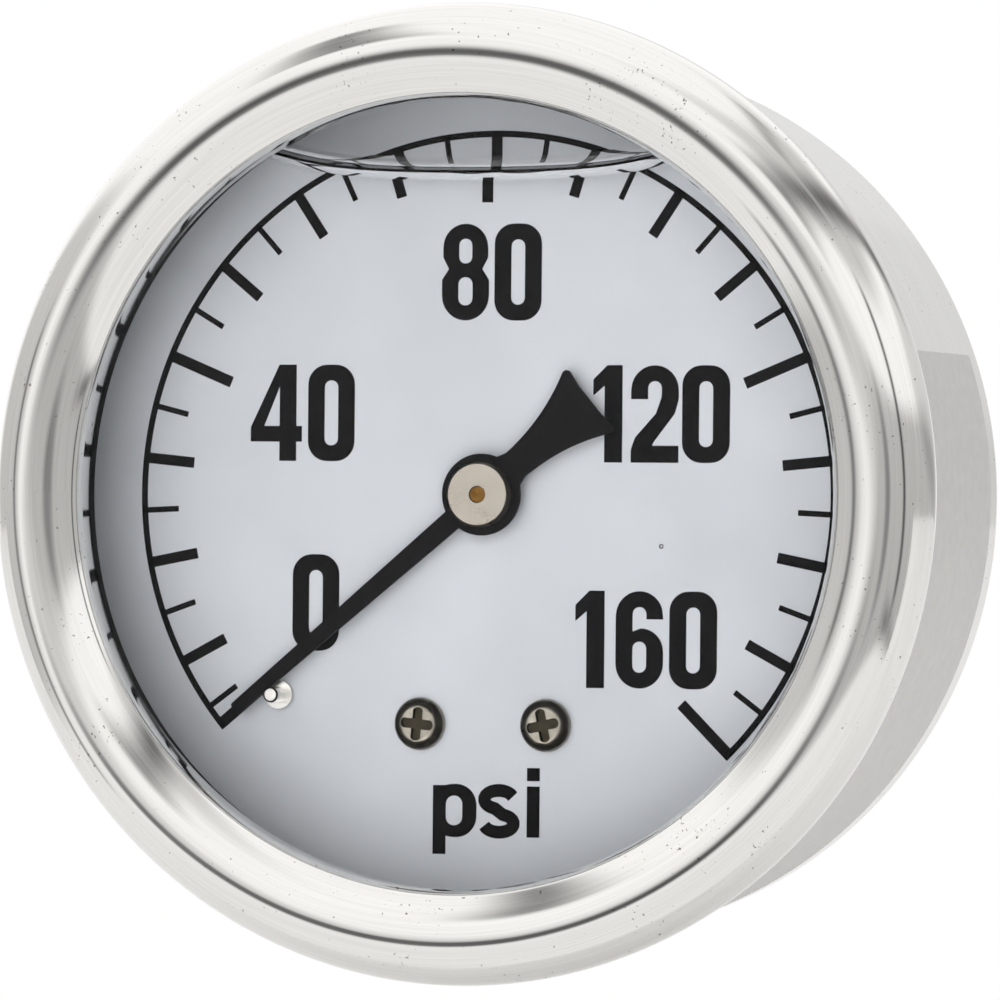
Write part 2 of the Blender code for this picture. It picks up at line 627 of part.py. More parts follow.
def build_pointer(black, metals, carrier):
    """Everything on the pinion's axis: the blade, its hub, the toothed shaft and the spring collet."""
    def place(along, across):
        forward = polar(along, ZERO_ANGLE)
        return polar(across, ZERO_ANGLE + 90, forward)

    def boss_turn(width):
        return math.degrees(math.asin(width / 2 / POINTER_BOSS_RADIUS))

    root_turn = boss_turn(POINTER_ROOT_WIDTH)
    neck_turn = boss_turn(POINTER_NECK_WIDTH)
    neck_end = POINTER_BOSS_RADIUS * math.cos(math.radians(neck_turn))
    flare = POINTER_TAIL_WIDTH - POINTER_NECK_WIDTH
    tail = []
    for share in (0.35, 0.6, 0.8, 1.0):
        along = neck_end + (POINTER_TAIL_LENGTH - neck_end) * share
        tail.append((-along, (POINTER_NECK_WIDTH + flare * share ** POINTER_FLARE_POWER) / 2))
    outline = [place(POINTER_LENGTH, -POINTER_TIP_WIDTH / 2), place(POINTER_LENGTH, POINTER_TIP_WIDTH / 2)]
    outline += arc(POINTER_BOSS_RADIUS, ZERO_ANGLE + root_turn, ZERO_ANGLE + 180 - neck_turn, 7)
    outline += [place(along, half) for along, half in tail]
    outline += [place(along, -half) for along, half in tail[::-1]]
    outline += arc(POINTER_BOSS_RADIUS, ZERO_ANGLE + 180 + neck_turn, ZERO_ANGLE + 360 - root_turn, 7)
    eye = circle(HUB_NECK_RADIUS + RUNNING)
    plate("pointer_blade", outline, [eye], POINTER_FRONT, POINTER_BACK, black, carrier)

    bore = SHAFT_NOSE_RADIUS + RUNNING
    shoulder = POINTER_FRONT - SEAT
    bevel = HUB_HEIGHT / 5
    neck_back = POINTER_BACK + POINTER_THICKNESS
    profile = [(bore, HUB_FRONT), (HUB_RADIUS - bevel, HUB_FRONT), (HUB_RADIUS, HUB_FRONT + bevel)]
    profile += [(HUB_RADIUS, shoulder), (HUB_NECK_RADIUS, shoulder), (HUB_NECK_RADIUS, neck_back)]
    profile += [(bore, neck_back)]
    turned("pointer_hub", profile, metals["nickel"], carrier=carrier)

    nose = HUB_FRONT + SHAFT_NOSE_RECESS
    step_back = neck_back + SEAT
    pivot_front = BACK_PLATE_FRONT - SEAT
    profile = [(0, nose), (SHAFT_NOSE_RADIUS, nose), (SHAFT_NOSE_RADIUS, step_back)]
    profile += [(SHAFT_RADIUS, step_back), (SHAFT_RADIUS, pivot_front), (SHAFT_PIVOT_RADIUS, pivot_front)]
    profile += [(SHAFT_PIVOT_RADIUS, BACK_PLATE_BACK - SEAT), (0, BACK_PLATE_BACK - SEAT)]
    shaft = turned("pinion_shaft", profile, metals["brass"], steps=TINY_ROUND, carrier=carrier)
    half_pitch = 180 / PINION_TEETH
    teeth = toothed_arc(PINION_TEETH, TOOTH_SHIFT, half_pitch, PINION_TEETH, AXIS)
    combine(shaft, plate("pinion_teeth", teeth, [], PINION_FRONT, PINION_BACK, metals["brass"]), "UNION")

    collet_bore = SHAFT_RADIUS + RUNNING
    profile = [(collet_bore, HAIRSPRING_FRONT), (COLLET_RADIUS, HAIRSPRING_FRONT)]
    profile += [(COLLET_RADIUS, HAIRSPRING_BACK), (collet_bore, HAIRSPRING_BACK)]
    turned("hairspring_collet", profile, metals["brass"], steps=TINY_ROUND, carrier=carrier)


def build_hairspring(metals):
    """A flat spiral strip from the collet out to a stud on the front plate."""
    steps = round(HAIRSPRING_TURNS * SMALL_ROUND)
    inner = []
    outer = []
    for step in range(steps + 1):
        turns = step / SMALL_ROUND
        angle = STUD_ANGLE - (HAIRSPRING_TURNS - turns) * 360
        reach = HAIRSPRING_START + turns * HAIRSPRING_PITCH
        inner.append(polar(reach - HAIRSPRING_STRIP / 2, angle))
        outer.append(polar(reach + HAIRSPRING_STRIP / 2, angle))
    plate("hairspring", outer + inner[::-1], [], HAIRSPRING_FRONT, HAIRSPRING_BACK, metals["bronze"])
    root = PLATE_INNER + SEAT
    spigot = PLATE_FRONT + SEAT
    tip = HAIRSPRING_BACK + HAIRSPRING_STRIP
    profile = [(0, spigot), (STUD_SPIGOT_RADIUS, spigot), (STUD_SPIGOT_RADIUS, root), (STUD_RADIUS, root)]
    profile += [(STUD_RADIUS, tip), (0, tip)]
    turned("hairspring_stud", profile, metals["brass"], STUD, TINY_ROUND)


def build_movement_frame(metals):
    brass = metals["brass"]
    rims = [point for place in PILLARS.values() for point in circle(PLATE_RIM, place)]
    screw_holes = [circle(PLATE_SCREW_RADIUS + RUNNING, place) for place in PILLARS.values()]
    front_holes = [circle(SHAFT_RADIUS + 2 * RUNNING), circle(ARBOR_PIVOT_RADIUS + RUNNING, ARBOR)]
    front_holes += [circle(STUD_SPIGOT_RADIUS + RUNNING, STUD), *screw_holes]
    plate("front_plate", hull(rims), front_holes, PLATE_FRONT, PLATE_INNER, brass)
    lug_rims = [point for place in LUGS.values() for point in circle(PLATE_RIM, place)]
    back_holes = [circle(SHAFT_PIVOT_RADIUS + RUNNING), circle(ARBOR_PIVOT_RADIUS + RUNNING, ARBOR)]
    back_holes += [circle(PILLAR_SPIGOT_RADIUS + RUNNING, place) for place in PILLARS.values()]
    back_holes += [circle(PLATE_SCREW_RADIUS + RUNNING, place) for place in LUGS.values()]
    plate("back_plate", hull(rims + lug_rims), back_holes, BACK_PLATE_FRONT, BACK_PLATE_BACK, brass)
    front = PLATE_INNER + SEAT
    shoulder = BACK_PLATE_FRONT - SEAT
    hole = PLATE_SCREW_RADIUS + RUNNING
    hole_end = front + PLATE_SCREW_BITE
    for name, place in PILLARS.items():
        profile = [(hole, front), (PILLAR_RADIUS, front), (PILLAR_RADIUS, shoulder)]
        profile += [(PILLAR_SPIGOT_RADIUS, shoulder), (PILLAR_SPIGOT_RADIUS, BACK_PLATE_BACK - SEAT)]
        profile += [(0, BACK_PLATE_BACK - SEAT), (0, hole_end), (hole, hole_end)]
        turned(name, profile, brass, place, TINY_ROUND)
        screw(name.replace("pillar", "plate_screw"), place, PLATE_SCREW_HEAD_RADIUS, PLATE_SCREW_HEAD_HEIGHT,
              PLATE_SCREW_RADIUS, PLATE_FRONT - SEAT, hole_end - SEAT, metals["steel"], TINY_ROUND, False)
    for name, place in LUGS.items():
        screw(name, place, PLATE_SCREW_HEAD_RADIUS, PLATE_SCREW_HEAD_HEIGHT, PLATE_SCREW_RADIUS,
              BACK_PLATE_FRONT - SEAT, COLUMN_FRONT + PLATE_SCREW_BITE, metals["steel"], TINY_ROUND, False)


def build_sector(metals, carrier):
    """The toothed fan that drives the pinion, its tail for the link, and the arbor it turns on."""
    tooth_pitch = 360 / SECTOR_TEETH
    swing_teeth = math.ceil(SECTOR_SWING / tooth_pitch)
    count = swing_teeth + 2 * SPARE_TEETH + 1
    first = 180 - (swing_teeth + SPARE_TEETH) * tooth_pitch
    last = 180 + SPARE_TEETH * tooth_pitch
    tail_angle = -SECTOR_SWING / 2
    root = SECTOR_PITCH_RADIUS - MODULE * (TOOTH_DEDENDUM + TOOTH_SHIFT)
    outline = arc(EYE_RADIUS, tail_angle - 90, tail_angle + 90, 6, TAIL_PIN)
    outline += arc(SECTOR_HUB_RADIUS, tail_angle + 50, first - 60, 3, ARBOR)
    outline += toothed_arc(SECTOR_TEETH, -TOOTH_SHIFT, first, count, ARBOR)
    outline += arc(SECTOR_HUB_RADIUS, last + 60, 360 + tail_angle - 50, 3, ARBOR)
    window_inner = SECTOR_HUB_RADIUS + SECTOR_RIM
    window_outer = root - SECTOR_RIM
    margin = math.degrees(SECTOR_RIM / window_inner)
    window = arc(window_inner, first + margin, last - margin, 3, ARBOR)
    window += arc(window_outer, last - margin / 2, first + margin / 2, 5, ARBOR)
    holes = [circle(ARBOR_RADIUS + RUNNING, ARBOR), circle(LINK_PIN_RADIUS + RUNNING, TAIL_PIN), window]
    plate("sector_gear", outline, holes, SECTOR_FRONT, SECTOR_BACK, metals["brass"], carrier)

    front = PLATE_INNER + SEAT
    back = BACK_PLATE_FRONT - SEAT
    profile = [(0, PLATE_FRONT + SEAT), (ARBOR_PIVOT_RADIUS, PLATE_FRONT + SEAT), (ARBOR_PIVOT_RADIUS, front)]
    profile += [(ARBOR_RADIUS, front), (ARBOR_RADIUS, back), (ARBOR_PIVOT_RADIUS, back)]
    profile += [(ARBOR_PIVOT_RADIUS, BACK_PLATE_BACK - SEAT), (0, BACK_PLATE_BACK - SEAT)]
    turned("sector_arbor", profile, metals["steel"], ARBOR, carrier=carrier)
    front = SECTOR_FRONT - SEAT
    headed_pin("link_pin_sector", TAIL_PIN, front, LINK_BACK + SEAT, EYE_RADIUS, metals, carrier)


def headed_pin(name, place, front, back, head_radius, metals, carrier):
    """A pin with a head at each end of the pieces that it holds together."""
    profile = [(0, front - LINK_PIN_HEAD), (head_radius, front - LINK_PIN_HEAD), (head_radius, front)]
    profile += [(LINK_PIN_RADIUS, front), (LINK_PIN_RADIUS, back), (head_radius, back)]
    profile += [(head_radius, back + LINK_PIN_HEAD), (0, back + LINK_PIN_HEAD)]
    turned(name, profile, metals["steel"], place, TINY_ROUND, carrier)


def build_link(metals, carrier):
    eye = OPEN_PIVOT + LINK_PIN_RADIUS + EYE_RADIUS / 2
    outline = arc(EYE_RADIUS, 180, 360, 8, TAIL_PIN) + arc(eye, 0, 180, 8, TIP_PIN)
    holes = [circle(LINK_PIN_RADIUS + RUNNING, TAIL_PIN), circle(LINK_PIN_RADIUS + OPEN_PIVOT, TIP_PIN)]
    plate("drive_link", outline, holes, LINK_FRONT, LINK_BACK, metals["steel"], carrier)


def build_tube(metals, tip_carrier):
    """The flattened tube, fixed in the socket at one end, and the cap on its free end."""
    outer = oval(TUBE_HALF_THICKNESS, TUBE_HALF_WIDTH, TUBE_SECTION_POINTS)
    bore = oval(TUBE_HALF_THICKNESS - TUBE_WALL, TUBE_HALF_WIDTH - TUBE_WALL, TUBE_SECTION_POINTS)
    add_piece("bourdon_tube", swept_shape([outer, bore], TUBE_ANGLES), metals["bronze"])

    seat_angle = math.degrees(SEAT / TUBE_RADIUS)
    cap_end = TUBE_TIP_ANGLE - 2 * seat_angle
    cap_start = cap_end - TIP_SPAN
    outer_reach = TUBE_RADIUS + TUBE_HALF_THICKNESS + TIP_RIM
    outline = arc(outer_reach, cap_start, cap_end, 3) + arc(TIP_INNER_REACH, cap_end, cap_start, 3)
    cap_front = EAR_FRONT + EAR_THICKNESS / 4
    cap_back = TUBE_PLANE + TUBE_HALF_WIDTH + TIP_RIM / 2
    tip = plate("tube_tip", outline, [], cap_front, cap_back, metals["brass"], tip_carrier)
    web = arc(TUBE_RADIUS, cap_start + TIP_SPAN / 4, cap_end - TIP_SPAN / 4, 2)
    ear = hull(web + circle(EYE_RADIUS, TIP_PIN))
    eye = circle(LINK_PIN_RADIUS + RUNNING, TIP_PIN)
    combine(tip, plate("tip_ear", ear, [eye], EAR_FRONT, EAR_BACK, metals["brass"]), "UNION")
    head = LINK_PIN_RADIUS + OPEN_PIVOT + EYE_RADIUS / 4
    headed_pin("link_pin_tip", TIP_PIN, LINK_FRONT - SEAT, EAR_BACK + SEAT, head, metals, tip_carrier)


def build_socket(metals, rubber):
    """The stem, hex, flange and column in one brass forging, with the passage to the tube."""
    brass = metals["brass"]
    thread_end = THREAD_RADIUS - THREAD_TAPER * THREAD_LENGTH
    relief = THREAD_RADIUS - RELIEF_DEPTH
    core_front = COLUMN_FRONT + COLUMN_SINK
    flange_front = SOCKET_SHOULDER - SOCKET_FLANGE_THICKNESS
    profile = [(INLET_RADIUS, 0), (thread_end - THREAD_CHAMFER, 0), (thread_end, -THREAD_CHAMFER)]
    profile += [(THREAD_RADIUS, HEX_BACK + 2 * RELIEF_LENGTH), (relief, HEX_BACK + RELIEF_LENGTH)]
    profile += [(relief, HEX_FRONT), (NECK_RADIUS, HEX_FRONT), (NECK_RADIUS, SOCKET_SHOULDER)]
    profile += [(SOCKET_FLANGE_RADIUS, SOCKET_SHOULDER), (SOCKET_FLANGE_RADIUS, flange_front)]
    profile += [(relief, flange_front), (relief, core_front), (0, core_front)]
    profile += [(0, -INLET_DEPTH), (INLET_RADIUS, -INLET_DEPTH)]
    socket = add_piece("socket", turned_shape(profile, AXIS, MIDDLE_ROUND, HALF_FACET), brass)

    hexagon = [polar(HEX_CORNER, 60 * corner) for corner in range(6)]
    nut = plate("hex_body", hexagon, [], HEX_FRONT - NECK_PROUD / 2, HEX_BACK + HEX_CHAMFER, brass)
    rounding = [(0, HEX_BACK), (HEX_CORNER - HEX_CHAMFER, HEX_BACK), (HEX_CORNER, HEX_BACK - HEX_CHAMFER)]
    rounding += [(HEX_CORNER, HEX_FRONT - NECK_PROUD), (0, HEX_FRONT - NECK_PROUD)]
    combine(nut, turned("hex_rounding", rounding, brass, steps=MIDDLE_ROUND), "INTERSECT")
    combine(socket, nut, "UNION")

    half = COLUMN_HALF_WIDTH
    rim = COLUMN_RIM + POST_RADIUS
    corners = [(-half + rim, COLUMN_BOTTOM + rim, 180), (half - rim, COLUMN_BOTTOM + rim, 270)]
    corners += [(half - rim, COLUMN_TOP - rim, 0), (-half + rim, COLUMN_TOP - rim, 90)]
    outline = [point for x, z, start in corners for point in arc(rim, start, start + 90, 4, (x, z))]
    column_back = SOCKET_SHOULDER - COLUMN_BACK_GAP
    combine(socket, plate("column", outline, [], COLUMN_FRONT, column_back, brass), "UNION")

    inlet_end = -INLET_DEPTH + PASSAGE_RADIUS
    combine(socket, rod("passage_drill", PASSAGE_RADIUS, TUBE_PLANE, inlet_end, brass), "DIFFERENCE")
    cross = rod("cross_drill", CROSS_BORE_RADIUS, 0, -COLUMN_BOTTOM + PASSAGE_RADIUS, brass)
    stand_upright(cross, TUBE_PLANE)
    combine(socket, cross, "DIFFERENCE")
    pocket = oval(TUBE_HALF_THICKNESS + RUNNING, TUBE_HALF_WIDTH + RUNNING, TUBE_SECTION_POINTS)
    outside = [angle for angle in TUBE_ANGLES if angle > TUBE_ROOT_ANGLE - POCKET_RUN_OUT]
    pocket_shape = swept_shape([pocket], [270, *outside])
    combine(socket, add_piece("tube_pocket", pocket_shape, brass), "DIFFERENCE")
    groove = [(SEAL_RADIUS - SEAL_SECTION - SEAT, SOCKET_SHOULDER - 1.6 * SEAL_SECTION)]
    groove += [(SEAL_RADIUS + SEAL_SECTION + SEAT, SOCKET_SHOULDER - 1.6 * SEAL_SECTION)]
    groove += [(SEAL_RADIUS + SEAL_SECTION + SEAT, CASE_BACK), (SEAL_RADIUS - SEAL_SECTION - SEAT, CASE_BACK)]
    combine(socket, turned("seal_groove", groove, brass, steps=MIDDLE_ROUND), "DIFFERENCE")
    tapped = PLATE_SCREW_RADIUS + RUNNING
    for name, place in LUGS.items():
        hole_end = COLUMN_FRONT + PLATE_SCREW_BITE + SEAT
        hole = rod(f"{name}_tapping", tapped, COLUMN_FRONT - SEAT, hole_end, brass, place, TINY_ROUND)
        combine(socket, hole, "DIFFERENCE")
    for name, place in CASE_SCREWS.items():
        tip = CASE_BACK - CASE_SCREW_LENGTH
        bite = rod(f"{name}_tapping", CASE_SCREW_RADIUS + RUNNING, tip - SEAT, CASE_BACK, brass, place)
        combine(socket, bite, "DIFFERENCE")
        screw(name, place, CASE_SCREW_HEAD_RADIUS, SCREW_HEAD_HEIGHT, CASE_SCREW_RADIUS,
              CASE_BACK + SEAT, tip, metals["steel"], SMALL_ROUND, True)

    squeeze = SEAL_SECTION * 0.75
    ring = bow((SEAL_RADIUS, SOCKET_SHOULDER - squeeze), SEAL_SECTION, squeeze, 0, 360, 6)[:-1]
    turned("socket_seal", ring, rubber, steps=MIDDLE_ROUND)
    back = -INLET_DEPTH + RESTRICTOR_LENGTH
    front = -INLET_DEPTH + SEAT
    body = INLET_RADIUS - RUNNING
    profile = [(RESTRICTOR_HOLE_RADIUS, front), (body, front), (body, back), (RESTRICTOR_HOLE_RADIUS, back)]
    turned("restrictor", profile, metals["steel"])
    stopper_front = -COLUMN_BOTTOM - COLUMN_FOOT + RUNNING
    stopper = rod("passage_plug", CROSS_BORE_RADIUS - RUNNING, stopper_front, -COLUMN_BOTTOM, brass)
    stand_upright(stopper, TUBE_PLANE)


def build_gauge():
    clear_scene()
    steel = finish("polished stainless steel", (0.62, 0.61, 0.59), 0.12, 1.0)
    rubber = finish("nitrile rubber", (0.02, 0.02, 0.02), 0.7, 0.0)
    clear = finish("polycarbonate", (0.85, 0.9, 0.92), 0.05, 0.0)
    white = finish("white enamel on aluminium", (0.68, 0.71, 0.75), 0.5, 0.0)
    black = finish("black enamel on aluminium", (0.012, 0.011, 0.012), 0.45, 0.0)
    metals = {
        "brass": finish("brass", (0.72, 0.5, 0.22), 0.35, 1.0),
        "bronze": finish("phosphor bronze", (0.6, 0.36, 0.2), 0.35, 1.0),
        "nickel": finish("nickel-plated brass", (0.55, 0.53, 0.49), 0.3, 1.0),
        "steel": finish("bright steel", (0.5, 0.5, 0.5), 0.3, 1.0),
    }
    build_case(steel)
    build_bezel(steel)
    build_window_and_gasket(clear, rubber)
    build_fill_plug(rubber)
    build_dial(white, metals)
    build_pointer(black, metals, axis_marker("pointer_axis", AXIS))
    build_hairspring(metals)
    build_movement_frame(metals)
    build_sector(metals, axis_marker("sector_axis", ARBOR))
    build_link(metals, axis_marker("link_axis", TAIL_PIN))
    build_tube(metals, axis_marker("tip_axis", TUBE_CENTROID))
    build_socket(metals, rubber)
    places = {"arbor": ARBOR, "tail pin": TAIL_PIN, "tip pin": TIP_PIN, "tube centroid": TUBE_CENTROID}
    for name, place in places.items():
        print(name, "x and z, mm:", [round(value / MM, 4) for value in place])


build_gauge()
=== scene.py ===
"""Visual model of a liquid-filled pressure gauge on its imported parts: steel case and ring, clear
window, glycerine, printed dial, pointer and the brass movement, in a white light tent."""
import json
import math

import bmesh
import bpy
from mathutils import Matrix, Vector


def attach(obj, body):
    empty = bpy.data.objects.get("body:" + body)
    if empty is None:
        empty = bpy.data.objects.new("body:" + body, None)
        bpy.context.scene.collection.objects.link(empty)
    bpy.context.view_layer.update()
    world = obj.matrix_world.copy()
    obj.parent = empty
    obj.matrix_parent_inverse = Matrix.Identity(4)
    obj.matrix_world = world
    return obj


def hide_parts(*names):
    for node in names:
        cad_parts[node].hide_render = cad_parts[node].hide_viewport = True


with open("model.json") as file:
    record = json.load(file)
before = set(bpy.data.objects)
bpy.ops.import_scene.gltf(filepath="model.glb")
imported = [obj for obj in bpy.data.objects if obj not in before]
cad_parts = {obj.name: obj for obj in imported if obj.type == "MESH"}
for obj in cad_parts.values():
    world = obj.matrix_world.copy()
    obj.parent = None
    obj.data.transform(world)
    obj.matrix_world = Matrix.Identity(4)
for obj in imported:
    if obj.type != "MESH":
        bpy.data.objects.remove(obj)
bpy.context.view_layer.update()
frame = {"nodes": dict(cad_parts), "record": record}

# Case. A cup of stainless steel sheet, deep drawn with a rounded back edge and polished on a wheel.
# The ring is rolled over the narrow flange at its front, and the stem comes out through its back.
MM = 0.001
CASE_RADIUS = 31.3
CASE_WALL = 0.8
CASE_BACK = -22.0
CASE_EDGE = 2.5
STEM_HOLE = 8.43
FLANGE_RADIUS = 31.95
FLANGE_FRONT = -46.6
DENT_SIZE = 14.0
DENT_DEPTH = 0.06
POLISH_LINE = 0.16
POLISH_DEPTH = 0.003
POLISH_DRAW = 0.4
WEAR_SIZE = 5.0
WEAR_SHARE = 0.35
SPECK_SIZE = 0.3
GRAIN_RANGE = (0.3, 0.7)


def srgb(code):
    """A colour from its sRGB hex code."""
    parts = [int(code[place:place + 2], 16) / 255 for place in (0, 2, 4)]
    linear = [part / 12.92 if part <= 0.04045 else ((part + 0.055) / 1.055) ** 2.4 for part in parts]
    return (*linear, 1.0)


def add(tree, kind, values=None, links=None, stops=(), **settings):
    """Adds one node, with its settings, socket values, incoming links and, on a ramp, its two stops."""
    made = tree.nodes.new(kind)
    for key, value in settings.items():
        setattr(made, key, value)
    for key, value in (values or {}).items():
        made.inputs[key].default_value = value
    for key, source in (links or {}).items():
        tree.links.new(source, made.inputs[key])
    for number, (position, code) in enumerate(stops):
        made.color_ramp.elements[number].position = position
        made.color_ramp.elements[number].color = srgb(code)
    return made


def new_material(name):
    """A material with an empty node tree."""
    material = bpy.data.materials.new(name)
    material.use_nodes = True
    material.node_tree.nodes.clear()
    return material, material.node_tree


# The polished sheet mirrors the tent. Lines from the wheel run round the axis and draw the
# reflections out a little, shallow dents make them waver, and small pits stay dark. Real polish
# lines are some 0.02 mm apart. They are drawn at 0.16 mm, because finer ones wouldn't show.
steel, tree = new_material("polished stainless steel")
place = add(tree, "ShaderNodeTexCoord").outputs["Object"]
axes = add(tree, "ShaderNodeSeparateXYZ", links={"Vector": place}).outputs
flat = add(tree, "ShaderNodeVectorMath", {1: (1, 0, 1)}, {0: place}, operation="MULTIPLY")
reach = add(tree, "ShaderNodeVectorMath", links={0: flat.outputs["Vector"]}, operation="LENGTH")
turn = add(tree, "ShaderNodeMath", links={0: axes["Z"], 1: axes["X"]}, operation="ARCTAN2")
drawn_out = add(tree, "ShaderNodeMath", {1: POLISH_DRAW * MM}, {0: turn.outputs[0]}, operation="MULTIPLY")
round_way = add(tree, "ShaderNodeCombineXYZ", links={
    "X": reach.outputs["Value"], "Y": axes["Y"], "Z": drawn_out.outputs[0]}).outputs["Vector"]
marks = {}
for mark, size, detail, where in [("dents", DENT_SIZE, 3.0, place), ("lines", POLISH_LINE, 3.0, round_way),
                                  ("wear", WEAR_SIZE, 2.0, place), ("specks", SPECK_SIZE, 2.0, place)]:
    marks[mark] = add(tree, "ShaderNodeTexNoise", {"Scale": 1 / (size * MM), "Detail": detail},
                      {"Vector": where}).outputs["Fac"]
dirt = add(tree, "ShaderNodeMath", {1: WEAR_SHARE}, {0: marks["wear"], 2: marks["specks"]},
           operation="MULTIPLY_ADD")
pits = add(tree, "ShaderNodeValToRGB", links={"Fac": dirt.outputs[0]},
           stops=[(0.885, "FFFFFF"), (0.945, "959089")])
tone = add(tree, "ShaderNodeValToRGB", links={"Fac": marks["lines"]},
           stops=zip(GRAIN_RANGE, ("E3E1DD", "EBEAE7")))
pitted = add(tree, "ShaderNodeMix", {"Factor": 1.0}, {"A": tone.outputs["Color"], "B": pits.outputs["Color"]},
             data_type="RGBA", blend_type="MULTIPLY")
gloss = add(tree, "ShaderNodeMapRange", {
    "From Min": GRAIN_RANGE[0], "From Max": GRAIN_RANGE[1], "To Min": 0.06, "To Max": 0.12},
    {"Value": marks["lines"]})
dents = add(tree, "ShaderNodeBump", {"Strength": 0.3, "Distance": DENT_DEPTH * MM},
            {"Height": marks["dents"]})
lines = add(tree, "ShaderNodeBump", {"Strength": 0.1, "Distance": POLISH_DEPTH * MM},
            {"Height": marks["lines"], "Normal": dents.outputs["Normal"]})
sheet = add(tree, "ShaderNodeBsdfPrincipled", {"Metallic": 1.0}, {
    "Base Color": pitted.outputs["Result"], "Roughness": gloss.outputs["Result"],
    "Normal": lines.outputs["Normal"]})
add(tree, "ShaderNodeOutputMaterial", links={"Surface": sheet.outputs["BSDF"]})


def bow(centre, radius, start, end, steps, depth=None):
    """Points along an arc, anticlockwise from the right in degrees. With a depth, it is an ellipse's."""
    turns = [math.radians(start + (end - start) * step / steps) for step in range(steps + 1)]
    tall = radius if depth is None else depth
    return [(centre[0] + radius * math.cos(t), centre[1] + tall * math.sin(t)) for t in turns]


def to_object(name, shape, material, sharp=35):
    """A mesh object at the origin from a bmesh in its final place."""
    bmesh.ops.recalc_face_normals(shape, faces=shape.faces)
    mesh = bpy.data.meshes.new(name)
    shape.to_mesh(mesh)
    shape.free()
    mesh.shade_smooth()
    mesh.set_sharp_from_angle(angle=math.radians(sharp))
    mesh.materials.append(material)
    piece = bpy.data.objects.new(name, mesh)
    bpy.context.scene.collection.objects.link(piece)
    return piece


def lathe(name, profile, material, steps=192, centre=(0.0, 0.0), upright=None):
    """Turns a closed (radius, y) profile in millimetres about the gauge's axis or one beside it, or,
    with a depth given as upright, a (radius, z) profile about an upright axis there."""
    shape = bmesh.new()
    rings = []
    for radius, y in profile:
        count = steps if radius > 0 else 1
        ring = []
        for step in range(count):
            turn = 2 * math.pi * step / steps
            x = centre[0] + radius * math.cos(turn)
            z = centre[1] + radius * math.sin(turn)
            place = (x, y, z) if upright is None else (x, upright + z, y)
            ring.append(shape.verts.new(Vector(place) * MM))
        rings.append(ring)
    for ring, following in zip(rings, rings[1:] + rings[:1]):
        for step in range(steps):
            ahead = (step + 1) % steps
            corners = [ring[step % len(ring)], ring[ahead % len(ring)]]
            corners += [following[ahead % len(following)], following[step % len(following)]]
            corners = list(dict.fromkeys(corners))
            if len(corners) > 2:
                shape.faces.new(corners)
    return to_object(name, shape, material)


def place_on(piece, body, slot, *nodes):
    """Ties a piece to its moving body and hides the parts that it stands for. The slot, for its finish, is
    not used.
    """
    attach(piece, body)
    if nodes:
        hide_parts(*nodes)


edge_middle = (CASE_RADIUS - CASE_EDGE, CASE_BACK - CASE_EDGE)
flange_back = FLANGE_FRONT + CASE_WALL
case_profile = [(STEM_HOLE, CASE_BACK), *bow(edge_middle, CASE_EDGE, 90, 0, 12)]
case_profile += [(CASE_RADIUS, flange_back), (FLANGE_RADIUS, flange_back), (FLANGE_RADIUS, FLANGE_FRONT)]
case_profile += [(CASE_RADIUS - CASE_WALL, FLANGE_FRONT), *bow(edge_middle, CASE_EDGE - CASE_WALL, 0, 90, 8)]
case_profile += [(STEM_HOLE, CASE_BACK - CASE_WALL)]
case = lathe("case_shell", case_profile, steel)
place_on(case, "housing", "polished_steel", "case")

# Socket and stem. One brass forging, turned, with a hex for the spanner. Its body is the packed
# part. The ridges of its taper pipe thread are a helix by geometry nodes.
STEM_LENGTH = 14.0
STEM_END_RADIUS = 6.42
STEM_ROOT_RADIUS = 6.86
THREAD_PITCH = 1.411
THREAD_START = -1.0
THREAD_END = -12.0
THREAD_RIDGE = 0.3
TURN_STEPS = 64


def uneven_finish(name, tones, gloss, grain_mm, detail=3.0, values=None):
    """An opaque finish with a tone and a gloss that change over a grain of that many millimetres."""
    material, tree = new_material(name)
    place = add(tree, "ShaderNodeTexCoord").outputs["Object"]
    grain = add(tree, "ShaderNodeTexNoise", {"Scale": 1 / (grain_mm * MM), "Detail": detail},
                {"Vector": place}).outputs["Fac"]
    tone = add(tree, "ShaderNodeValToRGB", links={"Fac": grain}, stops=zip(GRAIN_RANGE, tones))
    rough = add(tree, "ShaderNodeMapRange", {
        "From Min": GRAIN_RANGE[0], "From Max": GRAIN_RANGE[1], "To Min": gloss[0], "To Max": gloss[1]},
        {"Value": grain})
    shader = add(tree, "ShaderNodeBsdfPrincipled", values, {
        "Base Color": tone.outputs["Color"], "Roughness": rough.outputs["Result"]})
    add(tree, "ShaderNodeOutputMaterial", links={"Surface": shader.outputs["BSDF"]})
    return material


def metal(name, tones, gloss, grain_mm):
    """A machined or plated metal, with a finer grain in its tone than paint has."""
    return uneven_finish(name, tones, gloss, grain_mm, 4.0, {"Metallic": 1.0})


def open_group(name, sizes):
    """An empty geometry node group with a named input for each size, and the inputs' keys."""
    group = bpy.data.node_groups.new(name, "GeometryNodeTree")
    group.interface.new_socket("Geometry", in_out="OUTPUT", socket_type="NodeSocketGeometry")
    keys = {}
    for label, value in sizes.items():
        kind = "NodeSocketInt" if isinstance(value, int) else "NodeSocketFloat"
        keys[label] = group.interface.new_socket(label, in_out="INPUT", socket_type=kind).identifier
    return group, keys


def plain_mesh(piece):
    """The mesh that a piece has after its modifiers, or a curve when it is filled."""
    return bpy.data.meshes.new_from_object(piece.evaluated_get(bpy.context.evaluated_depsgraph_get()))


